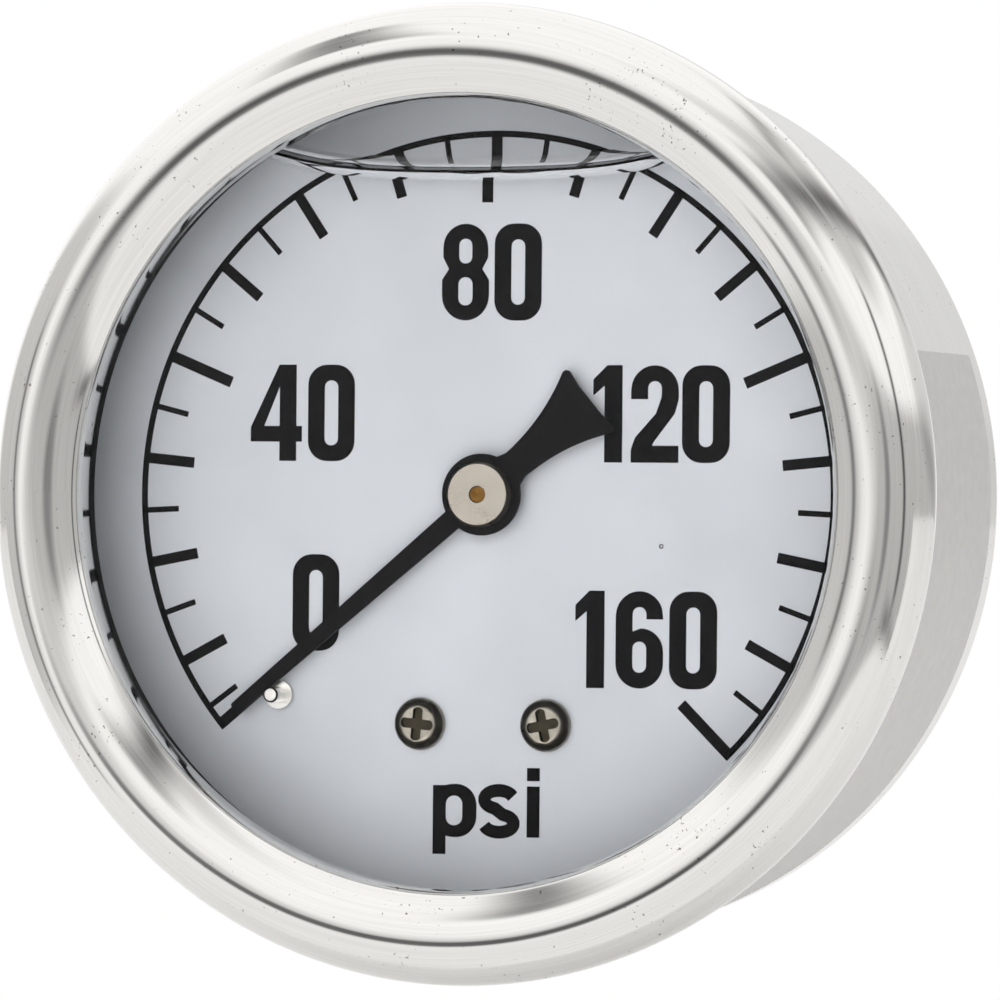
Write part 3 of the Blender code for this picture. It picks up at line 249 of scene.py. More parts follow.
def made_by_nodes(name, group, keys, sizes, shape, material):
    """Ends a node group with its shape in one material, runs it, and keeps the plain mesh."""
    real = add(group, "GeometryNodeRealizeInstances", links={"Geometry": shape})
    finished = add(group, "GeometryNodeSetMaterial", {"Material": material}, {
        "Geometry": real.outputs["Geometry"]})
    add(group, "NodeGroupOutput", links={"Geometry": finished.outputs["Geometry"]})
    piece = bpy.data.objects.new(name, bpy.data.meshes.new(name))
    bpy.context.scene.collection.objects.link(piece)
    maker = piece.modifiers.new(name, "NODES")
    maker.node_group = group
    for label, value in sizes.items():
        maker[keys[label]] = value
    made = plain_mesh(piece)
    piece.modifiers.clear()
    piece.data = made
    return piece


def stem_radius(y):
    """The stem's radius at a depth, which grows evenly from its end."""
    return STEM_END_RADIUS - (STEM_ROOT_RADIUS - STEM_END_RADIUS) / STEM_LENGTH * y


# Forged and drawn brass, handled on the outside: a warm yellow with a soft gloss in large clouds.
socket_brass = metal("drawn brass", ("B08A45", "CDA862"), (0.2, 0.36), 2.5)
frame["nodes"]["socket"].data.materials[0] = socket_brass
thread_sizes = {"Turns": (THREAD_START - THREAD_END) / THREAD_PITCH,
                "Length": (THREAD_START - THREAD_END) * MM,
                "End radius": stem_radius(THREAD_START) * MM, "Root radius": stem_radius(THREAD_END) * MM,
                "Ridge": THREAD_RIDGE * MM}
helix, thread_keys = open_group("thread ridge", thread_sizes)
given = add(helix, "NodeGroupInput").outputs
coil = add(helix, "GeometryNodeCurveSpiral", {"Resolution": TURN_STEPS}, {
    "Rotations": given["Turns"], "Height": given["Length"], "Start Radius": given["End radius"],
    "End Radius": given["Root radius"]})
upright = add(helix, "GeometryNodeSetCurveNormal", links={"Curve": coil.outputs["Curve"]}, mode="Z_UP")
tooth = add(helix, "GeometryNodeCurvePrimitiveCircle", {"Resolution": 3}, {"Radius": given["Ridge"]})
swept = add(helix, "GeometryNodeCurveToMesh", {"Fill Caps": True}, {
    "Curve": upright.outputs["Curve"], "Profile Curve": tooth.outputs["Curve"]})
laid = add(helix, "GeometryNodeTransform", {
    "Translation": (0, THREAD_START * MM, 0), "Rotation": (math.radians(90), 0, 0)},
    {"Geometry": swept.outputs["Mesh"]})
thread = made_by_nodes("thread_ridge", helix, thread_keys, thread_sizes, laid.outputs["Geometry"],
                       socket_brass)
place_on(thread, "housing", "brass")

# Case screws. Two turned steel screws with pan heads and a cross recess, in the back of the case.
# They go through it into the socket's flange and hold the two together.
CASE_SCREW_REACH = 12.4
CASE_SCREW_ANGLES = (("left", 200.0), ("right", 20.0))
CASE_SCREW_SEAT = -21.94
CASE_SCREW_HEAD = (2.1, 1.2)
CASE_SCREW_SHANK = (1.2, -25.0)
CASE_SCREW_TURN = 30
HEAD_FLAT = 0.55
HEAD_RIM = 0.05
ARM_REACH = 0.42
ARM_END = 0.22
RECESS_FLOOR = 0.4
RECESS_TOP = 1.5


def polar(reach, angle, centre=(0.0, 0.0)):
    """The place at that reach from a centre, anticlockwise from 3 o'clock in degrees."""
    turn = math.radians(angle)
    return (centre[0] + reach * math.cos(turn), centre[1] + reach * math.sin(turn))


def flat_shapes(name, loops, front, back, material):
    """Fills flat (x, z) loops, with the inner ones as holes, between two depths, all in millimetres."""
    curve = bpy.data.curves.new(name, "CURVE")
    curve.dimensions = "2D"
    curve.fill_mode = "BOTH"
    curve.extrude = (back - front) / 2 * MM
    for loop in loops:
        spline = curve.splines.new("POLY")
        spline.points.add(len(loop) - 1)
        spline.use_cyclic_u = True
        for point, (x, z) in zip(spline.points, loop):
            point.co = (x * MM, z * MM, 0, 1)
    outline = bpy.data.objects.new(name + ".drawn", curve)
    bpy.context.scene.collection.objects.link(outline)
    mesh = plain_mesh(outline)
    bpy.data.objects.remove(outline)
    shape = bmesh.new()
    shape.from_mesh(mesh)
    bmesh.ops.remove_doubles(shape, verts=shape.verts, dist=0.001 * MM)
    stood_up = Matrix(((1, 0, 0), (0, 0, -1), (0, 1, 0)))
    for vert in shape.verts:
        vert.co = stood_up @ vert.co + Vector((0, (front + back) / 2 * MM, 0))
    return to_object(name, shape, material)


# The floor and walls of a cross recess are painted dark brown, with hardly any gloss: painted shade for the
# shadow inside the recess.
recess_shade = metal("recess painted shade", ("3A352E", "57503F"), (0.4, 0.55), 0.3)


def cross_screw(name, centre, seat, out, head, shank, turn, finish):
    """A pan-head screw with a cross recess, from the radius and height of its head and the radius and
    tip of its shank. The head stands out to the back with out at 1, and to the front at -1."""
    radius, height = head[0], out * head[1]
    dome = bow((HEAD_FLAT * radius, seat), (1 - HEAD_FLAT) * radius, 90, 0, 10, height)
    profile = [(0, seat + height), *dome, (shank[0], seat), shank, (0, shank[1])]
    screw = lathe(name, profile, finish, 64, centre)
    # The second finish is the painted recess shade, which the recess's walls and floor take from the cutters.
    screw.data.materials.append(recess_shade)
    depths = sorted((seat + height * RECESS_FLOOR, seat + height * RECESS_TOP))
    cutters = []
    for arm_turn in (turn, turn + 90):
        loop = []
        for side, start in ((1, arm_turn - 60), (-1, arm_turn + 120)):
            end_middle = polar(side * ARM_REACH * radius, arm_turn, centre)
            loop += bow(end_middle, ARM_END * radius, start, start + 120, 6)
        # Each cutter carries the painted recess shade on to the faces that it cuts.
        cutters.append(flat_shapes(f"{name}.cut", [loop], *depths, recess_shade))
        recess = screw.modifiers.new("recess", "BOOLEAN")
        recess.object = cutters[-1]
        recess.operation = "DIFFERENCE"
        recess.material_mode = "TRANSFER"
    rim = screw.modifiers.new("rim", "BEVEL")
    rim.width = HEAD_RIM * radius * MM
    rim.segments = 2
    rim.angle_limit = math.radians(50)
    made = plain_mesh(screw)
    screw.modifiers.clear()
    screw.data = made
    for cutter in cutters:
        bpy.data.objects.remove(cutter)
    made.shade_smooth()
    made.set_sharp_from_angle(angle=math.radians(35))
    return screw


# Turned steel: a mid grey, with a soft gloss from the tool's fine marks.
bright_steel = metal("turned bright steel", ("8F8F8E", "ACACAA"), (0.18, 0.32), 0.9)
for side, angle in CASE_SCREW_ANGLES:
    case_screw = cross_screw(f"back_screw_{side}", polar(CASE_SCREW_REACH, angle), CASE_SCREW_SEAT, 1,
                             CASE_SCREW_HEAD, CASE_SCREW_SHANK, CASE_SCREW_TURN, bright_steel)
    place_on(case_screw, "housing", "bright_steel", f"case_screw_{side}")

# Movement. The tube, the link, the sector, the pinion and their plates, on the socket behind the
# dial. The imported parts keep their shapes, in brass, bronze and steel, with a rubber seal.

# Machined brass, kept clean by the liquid: yellow, with a sharper gloss than the stem's.
brass = metal("machined brass", ("B78A3C", "CFA557"), (0.18, 0.32), 0.8)
# Rolled phosphor bronze: the brass's gloss, with a redder tone.
bronze = metal("phosphor bronze", ("A8703F", "C08A58"), (0.2, 0.34), 1.2)
# Moulded nitrile rubber: nearly black and matt, greyed in places by dust.
rubber = uneven_finish("nitrile rubber", ("141414", "232322"), (0.55, 0.75), 0.8)
finishes = {"brass": brass, "bright_steel": bright_steel, "bronze": bronze, "rubber": rubber}
for entry in frame["record"]["subparts"]:
    if entry["material_slot"] in finishes and entry["node"] != "socket":
        frame["nodes"][entry["node"]].data.materials[0] = finishes[entry["material_slot"]]

# Dial. A white enamelled aluminium plate, punched for the shaft, the stop pin and its two screws.
# They hold it on posts that stand on the socket.
DIAL_FACE = -41.77
DIAL_BACK = -41.27
DIAL_RADIUS = 29.9
SHAFT_HOLE = 2.2
DIAL_SCREW_ASIDE = 4.6
DIAL_SCREW_HEIGHT = -16.0
DIAL_SCREW_HOLE = 0.95
STOP_PLACE = polar(20.6, 223.158)
STOP_HOLE = 0.6


def ring_loop(reach, centre=(0, 0), steps=48):
    """A closed circle of points."""
    return bow(centre, reach, 0, 360, steps)[:-1]


# Stoved enamel: a cool, matt white with faint clouds.
enamel = uneven_finish("white enamel", ("E2E6EC", "E8ECF2"), (0.5, 0.6), 11.0, 3.0,
                       {"Specular IOR Level": 0.25})
dial_loops = [ring_loop(DIAL_RADIUS, steps=192), ring_loop(SHAFT_HOLE)]
dial_loops += [ring_loop(DIAL_SCREW_HOLE, (side * DIAL_SCREW_ASIDE, DIAL_SCREW_HEIGHT)) for side in (-1, 1)]
dial_loops += [ring_loop(STOP_HOLE, STOP_PLACE)]
dial = flat_shapes("dial_plate", dial_loops, DIAL_FACE, DIAL_BACK, enamel)
place_on(dial, "housing", "dial_enamel", "dial")

# Dial scale. Black ink, printed on the enamel: the arc and its graduations, 0 to 160 in steps of 5.
# The graduations repeat by geometry nodes along the arc. A mark's sizes are its length and width.
PRINT_FRONT = DIAL_FACE - 0.015
PRINT_BACK = DIAL_FACE - 0.002
ARC_RADIUS = 25.45
ARC_WIDTH = 0.45
ARC_STEPS = 160
ZERO_ANGLE = 219.9
FULL_ANGLE = -45.0
END_ALLOWANCE = 0.9
TOP_ANGLE = 90
FIVE = 8.4375
MAIN_MARK = (5.1, 0.8)
TEN_MARK = (3.8, 0.75)
FIVE_MARK = (2.75, 0.4)
# Matt printing ink: a flat black that mirrors next to nothing.
ink = uneven_finish("black printing ink", ("0A090B", "131214"), (0.5, 0.65), 0.4, 3.0,
                    {"Specular IOR Level": 0.05})


def graduations(name, count, first_angle, step_angle, mark):
    """A row of radial bars inside the arc, spaced evenly by geometry nodes."""
    sizes = {"Count": count, "First angle": math.radians(first_angle),
             "Step angle": math.radians(step_angle), "Length": mark[0] * MM, "Width": mark[1] * MM}
    group, keys = open_group(name, sizes)
    given = add(group, "NodeGroupInput").outputs
    reach = add(group, "ShaderNodeMath", {1: -0.5, 2: ARC_RADIUS * MM}, {0: given["Length"]},
                operation="MULTIPLY_ADD")
    size = add(group, "ShaderNodeCombineXYZ", {"Y": (PRINT_BACK - PRINT_FRONT) * MM},
               {"X": given["Length"], "Z": given["Width"]})
    bar = add(group, "GeometryNodeMeshCube", links={"Size": size.outputs["Vector"]})
    row = add(group, "GeometryNodeMeshLine", {"Offset": (0, 0, 0)}, {"Count": given["Count"]})
    number = add(group, "GeometryNodeInputIndex")
    angle = add(group, "ShaderNodeMath", links={
        0: number.outputs["Index"], 1: given["Step angle"], 2: given["First angle"]},
        operation="MULTIPLY_ADD")
    across = add(group, "ShaderNodeMath", links={0: angle.outputs[0]}, operation="COSINE")
    upward = add(group, "ShaderNodeMath", links={0: angle.outputs[0]}, operation="SINE")
    way = add(group, "ShaderNodeCombineXYZ", links={"X": across.outputs[0], "Z": upward.outputs[0]})
    place = add(group, "ShaderNodeVectorMath", links={0: way.outputs["Vector"], "Scale": reach.outputs[0]},
                operation="SCALE")
    depth = add(group, "ShaderNodeVectorMath", {1: (0, (PRINT_FRONT + PRINT_BACK) / 2 * MM, 0)},
                {0: place.outputs["Vector"]}, operation="ADD")
    spots = add(group, "GeometryNodeSetPosition", links={
        "Geometry": row.outputs["Mesh"], "Position": depth.outputs["Vector"]})
    against = add(group, "ShaderNodeMath", {1: -1.0}, {0: angle.outputs[0]}, operation="MULTIPLY")
    turn = add(group, "ShaderNodeCombineXYZ", links={"Y": against.outputs[0]})
    copies = add(group, "GeometryNodeInstanceOnPoints", links={
        "Points": spots.outputs["Geometry"], "Instance": bar.outputs["Mesh"],
        "Rotation": turn.outputs["Vector"]})
    row_of_bars = made_by_nodes(name, group, keys, sizes, copies.outputs["Instances"], ink)
    place_on(row_of_bars, "housing", "dial_enamel")


graduations("print_main_marks", 4, TOP_ANGLE + 8 * FIVE, -8 * FIVE, MAIN_MARK)
for letter, lead in zip("abcd", (14, 6, -2, -10)):
    graduations(f"print_ten_marks_{letter}", 3, TOP_ANGLE + lead * FIVE, -2 * FIVE, TEN_MARK)
graduations("print_five_marks", 16, TOP_ANGLE + 15 * FIVE, -2 * FIVE, FIVE_MARK)
graduations("print_zero_mark", 1, ZERO_ANGLE, 0, MAIN_MARK)

arc_start = ZERO_ANGLE + END_ALLOWANCE
arc_end = FULL_ANGLE - END_ALLOWANCE
band = bow((0, 0), ARC_RADIUS, arc_start, arc_end, ARC_STEPS)
band += bow((0, 0), ARC_RADIUS - ARC_WIDTH, arc_end, arc_start, ARC_STEPS)
scale_arc = flat_shapes("print_arc", [band], PRINT_FRONT, PRINT_BACK, ink)
place_on(scale_arc, "housing", "dial_enamel")

# Dial numbers. Bold narrow figures in the same ink, printed with the scale. Each is an outline of
# straight stems and rounded bowls, in millimetres from its lower left corner.
FIGURE_HEIGHT = 6.75
FIGURE_WIDTH = 3.45
STEM = 1.345
THIN = 1.1
EYE_EASE = 0.12
DIAL_NUMBERS = [("0", (-12.4, -7.62), FIGURE_WIDTH), ("40", (-13.5, 5.66), 7.7), ("80", (0.35, 15.5), 7.3),
                ("120", (12.78, 5.66), 9.9), ("160", (11.8, -9.98), 10.27)]


def bowl(left, right, low, high, corner):
    """An upright slot with rounded ends, as the figures' bowls have."""
    points = []
    for x, z, start in [(right - corner, high - corner, 0), (left + corner, high - corner, 90),
                        (left + corner, low + corner, 180), (right - corner, low + corner, 270)]:
        points += bow((x, z), corner, start, start + 90, 10)
    return points


def figure_loops(sign):
    """The outlines of one figure, and its width."""
    w, h, s = FIGURE_WIDTH, FIGURE_HEIGHT, STEM
    eye_left, eye_right = s - EYE_EASE, w - s + EYE_EASE
    eye = (eye_right - eye_left) / 2
    top, foot, eye_top = (w / 2, h - w / 2), (w / 2, w / 2), (w / 2, h - THIN - eye)
    if sign == "0":
        return [bowl(0, w, 0, h, 1.4), bowl(eye_left, eye_right, THIN, h - THIN, eye)], w
    if sign == "1":
        flag = [(0, h - 2.12), (0, h - 0.99), (1.02, h), (2.12, h), (2.12, 0), (0.82, 0), (0.82, h - 1.43)]
        return [flag], 2.5
    if sign == "2":
        outer = bow(top, w / 2, 180, 0, 12)
        outer += [(w, h - 2.35), (w - 0.28, h - 3.35), (s + 0.32, THIN + 0.35), (s + 0.2, THIN + 0.08)]
        outer += [(w, THIN + 0.08), (w, 0), (0, 0), (0, 0.9), (0.3, 1.75), (w - s - 0.3, h - 3.35)]
        outer += [(w - s + 0.1, h - 2.2), *bow(eye_top, eye, 0, 180, 8), (eye_left, h - 2.35), (0, h - 2.35)]
        return [outer], w
    if sign == "4":
        wide = w + 0.35
        left, right, bar_low, bar_high = wide - s - 0.32, wide - 0.42, 1.35, 2.45
        outline = [(left - 0.03, h), (right, h), (right, bar_high), (wide, bar_high), (wide, bar_low)]
        outline += [(right, bar_low), (right, 0), (left, 0), (left, bar_low), (0, bar_low), (0, 2.35)]
        return [outline, [(1.0, bar_high), (left, bar_high), (left, 5.2)]], wide
    if sign == "6":
        outer = bow(top, w / 2, 20, 180, 10) + bow(foot, w / 2, 180, 360, 16)
        outer += [*bow((w / 2 + 0.1, 2.55), w / 2 - 0.1, 0, 90, 8), (eye_left, 3.95)]
        outer += [*bow(eye_top, eye, 180, 0, 8), (eye_right, h - 1.95), (w, h - 1.95)]
        return [outer, bowl(eye_left, eye_right, THIN, 3.25, eye)], w
    outer = bow((w / 2, h - w / 2 + 0.08), w / 2 - 0.08, 0, 180, 12)
    outer += [(0.08, h - 2.35), (0.5, h / 2 + 0.22), (0, h / 2 - 0.55), *bow(foot, w / 2, 180, 360, 12)]
    outer += [(w, h / 2 - 0.55), (w - 0.5, h / 2 + 0.22), (w - 0.08, h - 2.35)]
    upper = bowl(eye_left + 0.02, eye_right - 0.02, h / 2 + 0.6, h - THIN + 0.05, eye - 0.02)
    lower = bowl(eye_left - 0.02, eye_right + 0.02, THIN - 0.05, h / 2 - 0.35, eye + 0.02)
    return [outer, upper, lower], w


def shifted(loop, x, z):
    """A loop moved to its place on the dial."""
    return [(px + x, pz + z) for px, pz in loop]


for signs, (middle, height), width in DIAL_NUMBERS:
    figures = [figure_loops(sign) for sign in signs]
    gap = (width - sum(wide for _, wide in figures)) / max(1, len(signs) - 1)
    left = middle - width / 2
    number_loops = []
    for loops, wide in figures:
        number_loops += [shifted(loop, left, height - FIGURE_HEIGHT / 2) for loop in loops]
        left += wide + gap
    number = flat_shapes("print_number_" + signs, number_loops, PRINT_FRONT, PRINT_BACK, ink)
    place_on(number, "housing", "dial_enamel")

# Dial unit. The unit of pressure in small letters, in the same ink and printed with the scale. Each
# letter is a hair further out than the last, so that none lies in another's face.
UNIT_BASE = -23.8
UNIT_HEIGHT = 3.55
UNIT_STEM = 0.95
UNIT_TAIL = -1.25
UNIT_LIFT = 0.004
I_STEM = 0.93
I_DOT = (3.92, 4.83)
S_HALF_BAND = 0.45
S_MIDDLE = 1.46
letter_p = bowl(0, 3.2, -0.06, UNIT_HEIGHT + 0.1, 1.48)
eye_p = bowl(UNIT_STEM, 2.16, 0.76, UNIT_HEIGHT - 0.72, 0.6)
stem_p = [(0, UNIT_TAIL), (UNIT_STEM, UNIT_TAIL), (UNIT_STEM, 1.2), (UNIT_STEM, UNIT_HEIGHT)]
stem_p += [(0, UNIT_HEIGHT)]
letter_i = [(0, 0), (I_STEM, 0), (I_STEM, UNIT_HEIGHT), (0, UNIT_HEIGHT)]
dot_i = [(0, I_DOT[0]), (I_STEM, I_DOT[0]), (I_STEM, I_DOT[1]), (0, I_DOT[1])]
path_s = bow((S_MIDDLE, 2.6), 1.08, 20, 255, 14, 0.64) + bow((S_MIDDLE, 0.95), 1.1, 75, -165, 14, 0.62)
left_s = []
right_s = []
for (x, z), before, after in zip(path_s, path_s[:1] + path_s[:-1], path_s[1:] + path_s[-1:]):
    run, rise = after[0] - before[0], after[1] - before[1]
    share = S_HALF_BAND / math.hypot(run, rise)
    left_s.append((x - rise * share, z + run * share))
    right_s.append((x + rise * share, z - run * share))
unit_parts = [("print_unit_p", [letter_p, eye_p], -3.63), ("print_unit_p_stem", [stem_p], -3.63),
              ("print_unit_s", [left_s + right_s[::-1]], -0.25), ("print_unit_i", [letter_i, dot_i], 3.25)]
for number, (name, loops, x) in enumerate(unit_parts):
    lift = UNIT_LIFT * number
    letter = flat_shapes(name, [shifted(loop, x, UNIT_BASE) for loop in loops], PRINT_FRONT - lift,
                         PRINT_BACK - lift, ink)
    place_on(letter, "housing", "dial_enamel")

# Dial screws. Two nickel-plated brass screws with pan heads and a cross recess. They go through the
# dial into the posts behind it, and each was left at its own turn.
DIAL_SCREW_SEAT = DIAL_FACE - 0.06
DIAL_SCREW_HEAD = (1.85, 1.2)
DIAL_SCREW_SHANK = (0.9, -37.3)
DIAL_SCREW_TURNS = (("left", -DIAL_SCREW_ASIDE, -6), ("right", DIAL_SCREW_ASIDE, 12))
# Nickel plate that has yellowed: a warm mid grey, half matt.
nickel = metal("nickel plate", ("958F84", "B4AEA2"), (0.26, 0.38), 0.9)
for side, x, turn in DIAL_SCREW_TURNS:
    dial_screw = cross_screw(f"pan_screw_{side}", (x, DIAL_SCREW_HEIGHT), DIAL_SCREW_SEAT, -1,
                             DIAL_SCREW_HEAD, DIAL_SCREW_SHANK, turn, nickel)
    place_on(dial_screw, "housing", "nickel", f"dial_screw_{side}")

# Stop pin. A small turned pin with a collar, nickel plated and riveted in the dial just past zero.
# The pointer rests on it.
PIN_RADIUS = 0.55
PIN_CHAMFER = 0.13
PIN_FRONT = -44.77
PIN_BACK = -40.77
COLLAR_RADIUS = 1.0
COLLAR_FRONT = -42.23
COLLAR_BACK = -41.83
# Bright nickel: a pale silver with a crisp gloss.
bright = metal("bright nickel", ("D6D4D0", "EAE8E4"), (0.15, 0.28), 1.0)
pin_profile = [(0, PIN_FRONT), (PIN_RADIUS - PIN_CHAMFER, PIN_FRONT), (PIN_RADIUS, PIN_FRONT + PIN_CHAMFER)]
pin_profile += [(PIN_RADIUS, COLLAR_FRONT), (COLLAR_RADIUS, COLLAR_FRONT), (COLLAR_RADIUS, COLLAR_BACK)]
pin_profile += [(PIN_RADIUS, COLLAR_BACK), (PIN_RADIUS, PIN_BACK), (0, PIN_BACK)]
stop_pin = lathe("stop_stud", pin_profile, bright, 48, STOP_PLACE)
place_on(stop_pin, "housing", "nickel", "stop_pin")

# Pointer. A blade with a flared tail, stamped from aluminium sheet and enamelled black. It is fixed
# on the hub, and the pinion's shaft swings both. Its outline is (reach, half width) on one side.
BLADE_FRONT = -43.22
BLADE_BACK = -42.82
BLADE_HOLE = 1.35
REST_ANGLE = 220.0
BOSS_RADIUS = 2.85
BLADE_TIP = [(23.6, 0.38), (23.45, 0.45)]
TAIL_START = (-2.65, 1.05)
TAIL_GROWTH = (-7.35, 1.7)
TAIL_CURVE = 2.2
TAIL_STEPS = 12
TAIL_END = [(-10.25, 2.72), (-10.4, 2.5), (-10.25, 1.2)]


def along(reach, across):
    """The place on the dial that far along the pointer at rest and that far beside it."""
    return polar(across, REST_ANGLE + 90, polar(reach, REST_ANGLE))


# Satin enamel under the liquid, which takes its shine away: an even black with a faint grain.
black = uneven_finish("black enamel", ("0D0C0E", "161517"), (0.4, 0.55), 0.7, 3.0,
                      {"Specular IOR Level": 0.08})
half_blade = BLADE_TIP + bow((0, 0), BOSS_RADIUS, 15, 153, 23)
for step in range(1, TAIL_STEPS + 1):
    share = step / TAIL_STEPS
    half_blade.append((TAIL_START[0] + TAIL_GROWTH[0] * share,
                       TAIL_START[1] + TAIL_GROWTH[1] * share ** TAIL_CURVE))
half_blade += TAIL_END
blade_loop = [along(reach, half) for reach, half in half_blade]
blade_loop += [along(reach, -half) for reach, half in half_blade[::-1]]
blade = flat_shapes("pointer_arm", [blade_loop, ring_loop(BLADE_HOLE)], BLADE_FRONT, BLADE_BACK, black)
place_on(blade, "pointer", "black_enamel", "pointer_blade")

# Pointer hub. A turned bush of nickel silver with a thin spigot. The blade is riveted on the spigot,
# and the bush is pressed on to the shaft's nose.
HUB_RADIUS = 2.25
HUB_CHAMFER = 0.13
HUB_BORE = 0.6
HUB_FRONT = -44.53
HUB_SEAT = -43.28
HUB_BACK = -42.42
SPIGOT_RADIUS = 1.3
# Nickel silver as it left the lathe: a warm silver with an even, satin face.
satin = metal("turned nickel silver", ("A8A196", "B9B2A7"), (0.25, 0.34), 3.0)
hub_profile = [(HUB_BORE, HUB_FRONT), (HUB_RADIUS - HUB_CHAMFER, HUB_FRONT)]
hub_profile += [(HUB_RADIUS, HUB_FRONT + HUB_CHAMFER), (HUB_RADIUS, HUB_SEAT), (SPIGOT_RADIUS, HUB_SEAT)]
hub_profile += [(SPIGOT_RADIUS, HUB_BACK), (HUB_BORE, HUB_BACK)]
hub = lathe("pointer_bush", hub_profile, satin, 96)
place_on(hub, "pointer", "nickel", "pointer_hub")

# Shaft nose. The brass end of the pinion's shaft, which shows in the hub's bore. It is turned, and
# has the small dimple of the lathe's centre.
NOSE_RADIUS = 0.55
NOSE_FRONT = -44.36
NOSE_BACK = -44.29
DIMPLE_RADIUS = 0.2
DIMPLE_FLOOR = -44.28
DIMPLE_BACK = -44.25
# Brass darkened to brown, with a soft gloss: the warm hue is the brass's own, and the darkness is painted
# shade for the nose deep in the hub's bore.
bore_shaded_brass = metal("brass with painted bore shade", ("6B4A1E", "8A6430"), (0.3, 0.45), 0.4)
nose_profile = [(0, DIMPLE_FLOOR), (DIMPLE_RADIUS, NOSE_FRONT), (NOSE_RADIUS, NOSE_FRONT)]
nose_profile += [(NOSE_RADIUS, NOSE_BACK), (DIMPLE_RADIUS, NOSE_BACK), (0, DIMPLE_BACK)]
# The nose's brown is painted shade from the bore, laid on the brass's own tone.
nose = lathe("shaft_nose", nose_profile, bore_shaded_brass, 32)
place_on(nose, "pointer", "brass")

# Gasket. A flat ring cut from the same black nitrile rubber as the seal. It lies on the case's
# flange, and the ring presses the window on to it.
GASKET_RADIUS = 31.9
GASKET_FRONT = -47.66
GASKET_BACK = -46.66
GASKET_HOLE_FRONT = 27.9
GASKET_HOLE_BACK = 27.82
gasket_profile = [(GASKET_HOLE_FRONT, GASKET_FRONT), (GASKET_RADIUS, GASKET_FRONT)]
gasket_profile += [(GASKET_RADIUS, GASKET_BACK), (GASKET_HOLE_BACK, GASKET_BACK)]
gasket = lathe("gasket_ring", gasket_profile, rubber)
place_on(gasket, "housing", "rubber", "window_gasket")

# Window. A flat pane of clear polycarbonate, 3 mm thick, with a chamfered rim. The ring's lip holds
# it down on the gasket.
WINDOW_RADIUS = 31.9
WINDOW_FRONT = -50.72
WINDOW_BACK = -47.72
WINDOW_CHAMFER = (0.4, 0.42)
POLYCARBONATE_INDEX = 1.585
COAT_INDEX = 1.18
CLEAR_GRAIN = 9.0


def clear_solid(name, index, coat=None):
    """A clear solid that bends light and lets the lamps shine through it. With a coat, its surface
    mirrors as the coat's index gives. Without, it mirrors as bare glass does."""
    material, tree = new_material(name)
    place = add(tree, "ShaderNodeTexCoord").outputs["Object"]
    cloud = add(tree, "ShaderNodeTexNoise", {"Scale": 1 / (CLEAR_GRAIN * MM), "Detail": 3.0},
                {"Vector": place})
    colour = add(tree, "ShaderNodeValToRGB", links={"Fac": cloud.outputs["Fac"]},
                 stops=zip(GRAIN_RANGE, ("FDFDFD", "FFFFFF"))).outputs["Color"]
    if coat is None:
        clear = add(tree, "ShaderNodeBsdfGlass", {"Roughness": 0.0, "IOR": index}, {"Color": colour})
    else:
        bent = add(tree, "ShaderNodeBsdfRefraction", {"Roughness": 0.0, "IOR": index}, {"Color": colour})
        mirror = add(tree, "ShaderNodeBsdfAnisotropic", {"Roughness": 0.02})
        share = add(tree, "ShaderNodeFresnel", {"IOR": coat})
        clear = add(tree, "ShaderNodeMixShader", links={
            0: share.outputs["Fac"], 1: bent.outputs[0], 2: mirror.outputs[0]})
    passing = add(tree, "ShaderNodeBsdfTransparent", links={"Color": colour})
    path = add(tree, "ShaderNodeLightPath")
    mixed = add(tree, "ShaderNodeMixShader", links={
        0: path.outputs["Is Shadow Ray"], 1: clear.outputs[0], 2: passing.outputs["BSDF"]})
    add(tree, "ShaderNodeOutputMaterial", links={"Surface": mixed.outputs["Shader"]})
    return material


# Coated polycarbonate: quite clear. It shifts what lies behind it, and mirrors only at a slant.
pane = clear_solid("clear polycarbonate", POLYCARBONATE_INDEX, COAT_INDEX)
window_profile = [(0, WINDOW_FRONT), (WINDOW_RADIUS - WINDOW_CHAMFER[0], WINDOW_FRONT)]
window_profile += [(WINDOW_RADIUS, WINDOW_FRONT + WINDOW_CHAMFER[1]), (WINDOW_RADIUS, WINDOW_BACK)]
window_profile += [(0, WINDOW_BACK)]
window = lathe("window_pane", window_profile, pane)
place_on(window, "housing", "window", "window")

# Ring. A domed ring of the case's steel sheet, rolled round the window and in behind the flange. Its
# inner side turns down round a tight corner and stands on the window.
RING_WALL = 27.25
RING_CREST = (30.85, -54.08)
RING_OUTSIDE = 33.95
RING_DEPTH = 3.7
DOME_RADIUS = 4.9
CORNER_RADIUS = 1.4
LIP_BACK = -50.78
LIP_THICKNESS = 0.9
SHEET = 0.7
ROLL_MIDDLE = (30.56, -50.38)
ROLL_RADIUS = 3.39
ROLL_END = 50.86
NECK_RADIUS = 32.7
HEM_EDGE = 0.5
HEM_INSIDE = 31.35
HEM_BACK = -45.04
HOLLOW_END = 57.6
HOLLOW_DEPTH = 3.0
SHOULDER = 0.8
dome_middle = RING_CREST[1] + DOME_RADIUS
aside = RING_CREST[0] - RING_WALL - CORNER_RADIUS
drop = math.sqrt((DOME_RADIUS - CORNER_RADIUS) ** 2 - aside ** 2)
corner_end = 180 + math.degrees(math.atan2(drop, aside))
lip_outside = RING_WALL + LIP_THICKNESS
hollow_radius = ROLL_RADIUS - SHEET
hem_front = HEM_BACK - SHEET
ring_profile = [(RING_WALL, LIP_BACK)]
ring_profile += bow((RING_WALL + CORNER_RADIUS, dome_middle - drop), CORNER_RADIUS, 180, corner_end, 12)
ring_profile += bow((RING_CREST[0], dome_middle), DOME_RADIUS, corner_end, 270, 24)[1:]
